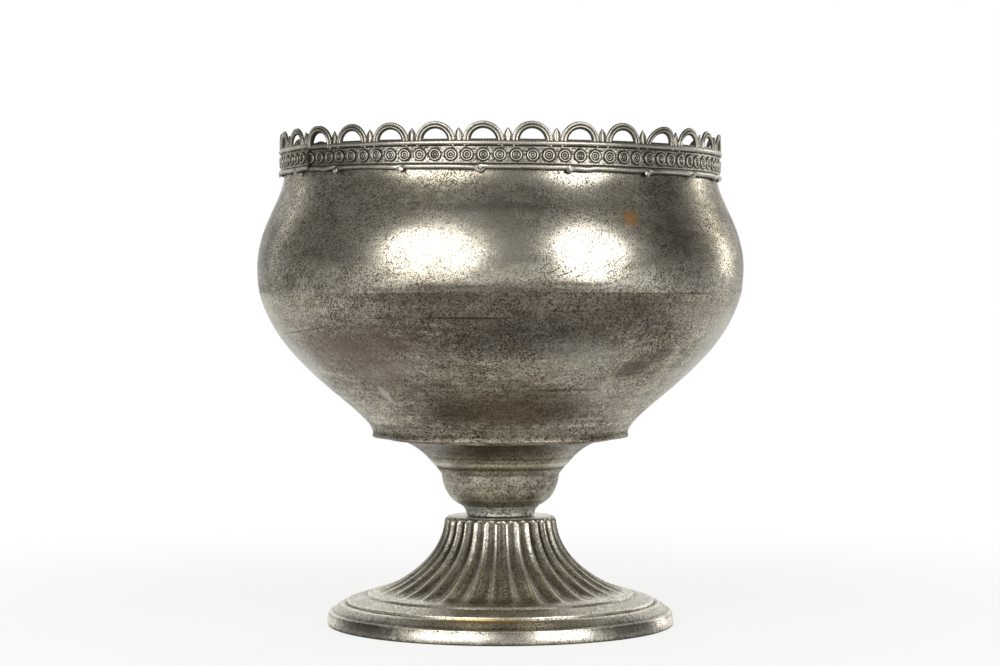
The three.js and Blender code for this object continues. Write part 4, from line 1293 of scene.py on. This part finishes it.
def make_bud(strip, shape, place, squeeze=1.0):
    """The pointed bud between two arches, with a curl on each side of its foot."""
    gallery = strip.gallery
    chance = random.Random(400 + int(2 * place))
    rows, columns = len(BUD_OUTLINE), 13
    climb = np.linspace(0, 1, rows)[:, None]
    half = 0.5 * gallery.bud_width * squeeze * np.array(BUD_OUTLINE)[:, None]
    across = np.linspace(-1, 1, columns)[None, :]
    sunk = 1.0 * MM
    heights = gallery.bead_top - sunk + climb * (gallery.bud_height + sunk) + 0 * across
    along = half * across + 0.2 * MM * chance.uniform(-1, 1) * climb**2
    rim = 0.7 * bump_at(np.abs(across), 0.88, 0.1)
    rib = np.clip(1 - (np.abs(across) / 0.66) ** 2, 0, 1)
    relief = (0.45 + (0.75 * rib + 0.42 * rim) * (1 - 0.55 * climb) + 0.1 * (1 - across**2)) * MM
    wear = np.clip(1.1 * rib + 0.8 * rim, 0, 1) * (1 - 0.2 * climb)
    front = place + along * strip.per_metre
    back = place + 0.9 * along * strip.per_metre
    faces = grid_faces(rows, columns, False, False)
    shift = rows * columns
    sides = faces.tolist() + (faces[:, ::-1] + shift).tolist()
    edge = [row * columns for row in range(rows)]
    edge += [(rows - 1) * columns + column for column in range(1, columns)]
    edge += [row * columns + columns - 1 for row in range(rows - 2, -1, -1)]
    edge += list(range(columns - 2, 0, -1))
    sides += [[a, a + shift, b + shift, b] for a, b in zip(edge, edge[1:] + edge[:1])]
    strip.lay(
        shape,
        np.concatenate([front.ravel(), back.ravel()]),
        np.tile(heights.ravel(), 2),
        np.concatenate([relief.ravel(), np.full(shift, 0.12 * MM)]),
        sides,
        np.concatenate([wear.ravel(), np.full(shift, 0.2)]),
    )
    for side in (-1, 1):
        make_curl(strip, shape, place + side * 1.75 * MM * squeeze * strip.per_metre)


def make_curl(strip, shape, place):
    """A small round lump at the foot of a bud."""
    rows, columns = 6, 10
    climb = np.linspace(0.05, 0.5 * math.pi, rows)
    turn = full_turn(columns)
    size = 0.66 * MM
    ring = size * np.cos(climb)
    arches = place + np.outer(ring, np.sin(turn)) * strip.per_metre
    heights = strip.gallery.bead_top + 0.35 * MM + np.outer(ring, np.cos(turn))
    relief = 0.5 * MM + np.repeat((size * 1.1 * np.sin(climb))[:, None], columns, axis=1)
    wear = np.linspace(0, 0.9, rows)[:, None] + 0 * relief
    strip.lay(shape, arches, heights, relief, capped_tube(rows, columns, inward=True), wear)


def make_strip(gallery, name, node, first, last, tack_angles, lap=None):
    """One stamped strip between two joints, counted in arches. It may lap over the next one."""
    strip = Strip(gallery, tack_angles, lap)
    shape = Shape()
    middle = make_band(strip, shape, first, last)
    make_roundels(strip, shape, first, last, middle)
    foot_turn = math.asin((gallery.arch_sink + 1.4 * MM) / gallery.arch_radius)
    for number in range(math.ceil(first - 0.4), math.floor(last + 0.4) + 1):
        start, stop = -foot_turn, math.pi + foot_turn
        if number == BROKEN_ARCH and last > number > first:
            start = math.radians(64)
        elif number == BROKEN_ARCH:
            stop = math.radians(80)
        make_arch(strip, shape, number, start, stop)
    for half in range(math.ceil(2 * first), math.floor(2 * last) + 1):
        if half % 2 and half / 2 != last:
            make_bud(strip, shape, half / 2, 0.8 if half / 2 == first else 1.0)
    dress(name, shape, "gallery", "gallery_metal", node, crease=50)


# ------------------------------------------------------------------ solder tacks
# Half width, half height and half depth of a tack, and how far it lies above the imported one.
TACK_SIZE = (1.9, 1.25, 0.4)
TACK_LIFT = 1.75 * MM
BEAD_TILT = 0.0014


def tack_middle(node):
    """The middle of a packed tack, and its angle from the front."""
    low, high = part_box(node)
    middle = (low + high) / 2
    return middle, math.atan2(middle.x, -middle.y)


def make_tack(node, number):
    """A ragged lump of solder that wets the lower bead and the neck."""
    middle, around = tack_middle(node)
    chance = random.Random(70 + number)
    wide, tall, deep = (size * MM * chance.uniform(0.8, 1.2) for size in TACK_SIZE)
    rows, columns = 12, 20
    climb = np.linspace(-math.pi / 2 + 0.12, math.pi / 2 - 0.12, rows)
    turn, ring = full_turn(columns), np.cos(climb)
    out = np.repeat(np.sin(climb)[:, None], columns, axis=1)
    ball = np.stack([np.outer(ring, np.cos(turn)), out, np.outer(ring, np.sin(turn))], axis=-1)
    ball = ball.reshape(-1, 3)
    lumps = 1 + 0.4 * soft_noise(ball, 0.7, 20 + number) + 0.2 * soft_noise(ball, 0.3, 40 + number)
    ball *= lumps[:, None]
    slope = -BEAD_TILT * math.sin(around)
    radius = math.hypot(middle.x, middle.y) + 0.1 * MM
    turn_by = around + ball[:, 0] * wide / radius
    level = middle.z + TACK_LIFT + slope + ball[:, 2] * tall
    points = on_circle(radius + ball[:, 1] * deep, turn_by, level)
    shape = Shape(points, capped_tube(rows, columns), 0.6)
    dress("tack_%02d" % number, shape, "solder", "solder", node, crease=60)


# ------------------------------------------------------------------ tie rod and its fittings
FIXING_SEGMENTS = 72


def make_rod():
    """The tie rod, with its thread."""
    low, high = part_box("tie_rod")
    radius, pitch, depth = 3.95 * MM, 1.25 * MM, 0.7 * MM
    per_turn, columns = 8, 36
    rows = int((high.z - low.z) / pitch * per_turn)
    z = np.linspace(low.z + 0.02 * MM, high.z - 0.02 * MM, rows)
    turn = full_turn(columns)
    phase = (z[:, None] / pitch - turn / (2 * math.pi)) % 1
    groove = np.abs(2 * phase - 1)
    end = np.minimum(z - z[0], z[-1] - z)[:, None]
    cut = depth * np.clip(1.25 * groove - 0.12, 0, 1)
    ring = radius - cut - np.clip(0.8 * MM - end, 0, 1) * 0.9
    points = on_circle(ring, turn, z[:, None])
    shape = Shape(points, capped_tube(rows, columns), (1 - cut / depth).ravel())
    dress("threaded_rod", shape, "steel", "fixing_steel", "tie_rod")


def make_washer(node, name):
    """A flat washer with rounded edges."""
    low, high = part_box(node)
    outer, edge = high.x - 0.02 * MM, 0.35 * MM
    bottom, top = low.z, high.z
    outline = chain(
        straight((ROD_HOLE, bottom), (outer - edge, bottom), 4),
        bezier((outer - edge, bottom), (outer, bottom), (outer, bottom), (outer, bottom + edge), 4),
        bezier((outer, top - edge), (outer, top), (outer, top), (outer - edge, top), 4),
        straight((outer - edge, top), (ROD_HOLE, top), 4),
    )
    shape = Shape(*turned(outline, FIXING_SEGMENTS), 0.6)
    dress(name, shape, "steel", "fixing_steel", node)


def make_nut(node, name):
    """A hexagon nut with chamfered corners and a countersunk bore."""
    low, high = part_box(node)
    flats = min(high.x, high.y)
    bore, sink, drop = 4.05 * MM, 0.6 * MM, 0.5 * MM
    turn = full_turn(FIXING_SEGMENTS)
    offset = 0 if high.x < high.y else math.pi / 6
    sector = (turn + offset + math.pi / 6) % (math.pi / 3) - math.pi / 6
    hexagon = flats / np.cos(sector)
    chamfered = np.minimum(hexagon, flats * 1.08) - 0.2 * MM
    rows = (
        (bore + sink, low.z),
        (chamfered, low.z),
        (hexagon, low.z + drop),
        (hexagon, high.z - drop),
        (chamfered, high.z),
        (bore + sink, high.z),
        (bore, high.z - sink),
        (bore, low.z + sink),
    )
    points = np.stack([on_circle(radius, turn, z) for radius, z in rows])
    shape = Shape(points, grid_faces(len(rows), FIXING_SEGMENTS, True, True), 0.6)
    dress(name, shape, "steel", "fixing_steel", node, crease=25)


# ------------------------------------------------------------------ stage
# Bright edges of the backdrop: degrees from straight behind towards +X, half width, strength.
CURTAINS = ((47.5, 6.5, 1.0), (-46.5, 3.2, 0.4))
FLOOR_SEGMENTS = 64
AIM = Vector((0, 0, 0.19))


def make_floor(studio):
    """A plain pale floor that fades into the backdrop and keeps the object's shadow."""
    rings = np.array([0.0005, 0.1, 0.25, 0.5, 1.0, 2.0, 4.0, studio.floor_radius])
    points = on_circle(rings[:, None], full_turn(FLOOR_SEGMENTS), -0.05 * MM)
    faces = grid_faces(len(rings), FLOOR_SEGMENTS, False, True).tolist()
    shape = Shape(points, faces + [list(range(FLOOR_SEGMENTS))], 0.5)
    floor = bpy.data.objects.new("floor", shape.mesh("floor", 30))
    bpy.context.scene.collection.objects.link(floor)
    material = bpy.data.materials.new("pale_floor")
    material.use_nodes = True
    material.cycles.emission_sampling = "NONE"
    tree = material.node_tree
    matt = {"Base Color": (0.9, 0.9, 0.9), "Roughness": 0.9, "Specular IOR Level": 0.1}
    shader = fill(tree, tree.nodes["Principled BSDF"], matt)
    place = tree.nodes.new("ShaderNodeTexCoord").outputs["Object"]
    far = spread(tree, vector_sum(tree, "LENGTH", place), 0.10, 0.60, 0.80, 1.0)
    rays = tree.nodes.new("ShaderNodeLightPath")
    seen = calculate(tree, "MAXIMUM", rays.outputs["Is Camera Ray"], rays.outputs["Is Glossy Ray"])
    seen = calculate(tree, "MAXIMUM", seen, rays.outputs["Is Transmission Ray"])
    glow = add_node(tree, "ShaderNodeEmission", {"Color": (1, 1, 1), "Strength": 1.0})
    share_of_glow = calculate(tree, "MULTIPLY", far, seen)
    both = {0: share_of_glow, 1: shader.outputs[0], 2: glow.outputs[0]}
    mixed = add_node(tree, "ShaderNodeMixShader", both)
    fill(tree, tree.nodes["Material Output"], {"Surface": mixed.outputs[0]})
    floor.data.materials.append(material)


def make_room(studio):
    """Light from all round: a white backdrop with bright edges behind, and a dimmer room in front."""
    world = bpy.data.worlds.new("studio_room")
    bpy.context.scene.world = world
    world.use_nodes = True
    tree = world.node_tree
    place = tree.nodes.new("ShaderNodeTexCoord").outputs["Generated"]
    x, y, z = add_node(tree, "ShaderNodeSeparateXYZ", {0: place}).outputs
    light = blend_colours(tree, spread(tree, y, 0.35, 0.95), studio.room, studio.backdrop)
    around = calculate(tree, "ARCTAN2", x, y)
    for centre, half_width, strength in CURTAINS:
        apart = calculate(tree, "ABSOLUTE", calculate(tree, "SUBTRACT", around, math.radians(centre)))
        inside, outside = math.radians(0.6 * half_width), math.radians(half_width)
        across = spread(tree, apart, inside, outside, 1.0, 0.0)
        bright = calculate(tree, "MULTIPLY", across, spread(tree, z, 0.30, 0.45, 1.0, 0.0))
        bright = calculate(tree, "MULTIPLY", bright, strength)
        light = blend_colours(tree, bright, light, studio.curtain)
    fill(tree, tree.nodes["Background"], {"Color": light})


def make_lamp(name, studio, azimuth, elevation, width, height):
    """A soft lamp that faces the bowl from a direction, in degrees from the front and up."""
    turn, lift = math.radians(azimuth), math.radians(elevation)
    level = math.cos(lift)
    away = Vector((math.sin(turn) * level, -math.cos(turn) * level, math.sin(lift)))
    data = bpy.data.lights.new(name, "AREA")
    data.shape = "ELLIPSE"
    data.size, data.size_y = width, height
    data.color = (1.0, 0.995, 0.978)
    data.energy = studio.lamp_radiance * math.pi * width * height * math.pi / 4
    lamp = bpy.data.objects.new(name, data)
    lamp.location = AIM + away * studio.lamp_distance
    lamp.rotation_euler = away.to_track_quat("Z", "Y").to_euler()
    lamp.visible_camera = False
    bpy.context.scene.collection.objects.link(lamp)


def make_camera(studio):
    """The camera, at the photograph's place."""
    data = bpy.data.cameras.new("camera")
    data.lens = studio.lens
    data.sensor_width = 36
    camera = bpy.data.objects.new("camera", data)
    camera.location = (-0.2 * MM, -studio.distance, studio.height)
    camera.rotation_euler = (math.radians(90) - studio.pitch, 0, 0)
    bpy.context.scene.collection.objects.link(camera)
    bpy.context.scene.camera = camera


# ------------------------------------------------------------------ operators
def settings():
    """The scene's settings of the bowl."""
    return bpy.context.scene.flower_bowl


class FLOWERBOWL_OT_metals(bpy.types.Operator):
    """Makes the shared patina and every metal finish"""

    bl_idname = "flower_bowl.metals"
    bl_label = "Metals"

    def execute(self, context):
        make_groups()
        make_metals(settings().patina)
        return {"FINISHED"}


class FLOWERBOWL_OT_bowl(bpy.types.Operator):
    """Makes the upper and the lower shell of the bowl"""

    bl_idname = "flower_bowl.bowl"
    bl_label = "Bowl shells"

    def execute(self, context):
        make_lower_shell(settings().bowl)
        make_upper_shell(settings().bowl)
        return {"FINISHED"}


class FLOWERBOWL_OT_stem(bpy.types.Operator):
    """Makes the cup and the collar between the bowl and the foot"""

    bl_idname = "flower_bowl.stem"
    bl_label = "Cup and collar"

    def execute(self, context):
        make_cup(settings().stem)
        make_collar(settings().stem)
        return {"FINISHED"}


class FLOWERBOWL_OT_foot(bpy.types.Operator):
    """Makes the fluted foot"""

    bl_idname = "flower_bowl.foot"
    bl_label = "Foot"

    def execute(self, context):
        make_foot(settings().foot)
        return {"FINISHED"}


class FLOWERBOWL_OT_gallery(bpy.types.Operator):
    """Makes the three stamped strips round the neck"""

    bl_idname = "flower_bowl.gallery"
    bl_label = "Gallery strips"

    def execute(self, context):
        gallery = settings().gallery
        angles = [tack_middle(node)[1] for node in TACKS]
        left, right, back = JOINTS["left"], JOINTS["right"], JOINTS["back"]
        make_strip(gallery, "front_arcade", "gallery_strip_front", left, right, angles)
        make_strip(gallery, "right_arcade", "gallery_strip_right", right, back, angles)
        lapped = left + gallery.arches + 0.12
        make_strip(gallery, "left_arcade", "gallery_strip_left", back, lapped, angles, lapped)
        return {"FINISHED"}


class FLOWERBOWL_OT_tacks(bpy.types.Operator):
    """Makes the lumps of solder under the strips"""

    bl_idname = "flower_bowl.tacks"
    bl_label = "Solder tacks"

    def execute(self, context):
        for number, node in enumerate(TACKS, start=1):
            make_tack(node, number)
        return {"FINISHED"}


class FLOWERBOWL_OT_fixings(bpy.types.Operator):
    """Makes the tie rod with its nuts and washers"""

    bl_idname = "flower_bowl.fixings"
    bl_label = "Tie rod, nuts and washers"

    def execute(self, context):
        make_rod()
        for place in ("bowl", "foot"):
            make_washer(place + "_washer", place + "_washer_round")
            make_nut(place + "_nut", place + "_nut_hexagon")
        return {"FINISHED"}


class FLOWERBOWL_OT_stage(bpy.types.Operator):
    """Makes the camera, the floor, the room light and the lamps"""

    bl_idname = "flower_bowl.stage"
    bl_label = "Stage"

    def execute(self, context):
        studio = settings().studio
        context.scene.view_settings.view_transform = "Standard"
        make_camera(studio)
        make_floor(studio)
        make_room(studio)
        make_lamp("lamp_left", studio, -31, 13, 1.08, 1.15)
        make_lamp("lamp_right", studio, 41, 13, 0.78, 1.15)
        return {"FINISHED"}


class FLOWERBOWL_PT_panel(bpy.types.Panel):
    """Lists the steps and the settings"""

    bl_idname = "FLOWERBOWL_PT_panel"
    bl_label = "Footed Flower Bowl"
    bl_space_type = "VIEW_3D"
    bl_region_type = "UI"
    bl_category = "Flower Bowl"

    def draw(self, context):
        for step in STEPS:
            self.layout.operator(step.bl_idname)
        for label in ("bowl", "stem", "foot", "gallery", "patina", "studio"):
            box = self.layout.box()
            box.label(text=label.capitalize())
            group = getattr(context.scene.flower_bowl, label)
            for key in type(group).__annotations__:
                box.prop(group, key)


STEPS = (
    FLOWERBOWL_OT_stage,
    FLOWERBOWL_OT_metals,
    FLOWERBOWL_OT_bowl,
    FLOWERBOWL_OT_stem,
    FLOWERBOWL_OT_foot,
    FLOWERBOWL_OT_gallery,
    FLOWERBOWL_OT_tacks,
    FLOWERBOWL_OT_fixings,
)
CLASSES = (
    BowlSizes,
    StemSizes,
    FootSizes,
    GallerySizes,
    PatinaColours,
    StudioLook,
    FlowerBowl,
    *STEPS,
    FLOWERBOWL_PT_panel,
)


def register():
    """Registers the add-on's classes and settings."""
    for item in CLASSES:
        bpy.utils.register_class(item)
    bpy.types.Scene.flower_bowl = PointerProperty(type=FlowerBowl)


def unregister():
    """Takes the add-on's classes and settings away again."""
    del bpy.types.Scene.flower_bowl
    for item in reversed(CLASSES):
        bpy.utils.unregister_class(item)


def main():
    """Makes the whole bowl and its stage."""
    register()
    bpy.ops.flower_bowl.stage()
    bpy.ops.flower_bowl.metals()
    bpy.ops.flower_bowl.bowl()
    bpy.ops.flower_bowl.stem()
    bpy.ops.flower_bowl.foot()
    bpy.ops.flower_bowl.gallery()
    bpy.ops.flower_bowl.tacks()
    bpy.ops.flower_bowl.fixings()
    bpy.context.view_layer.update()


if __name__ == "__main__":
    main()
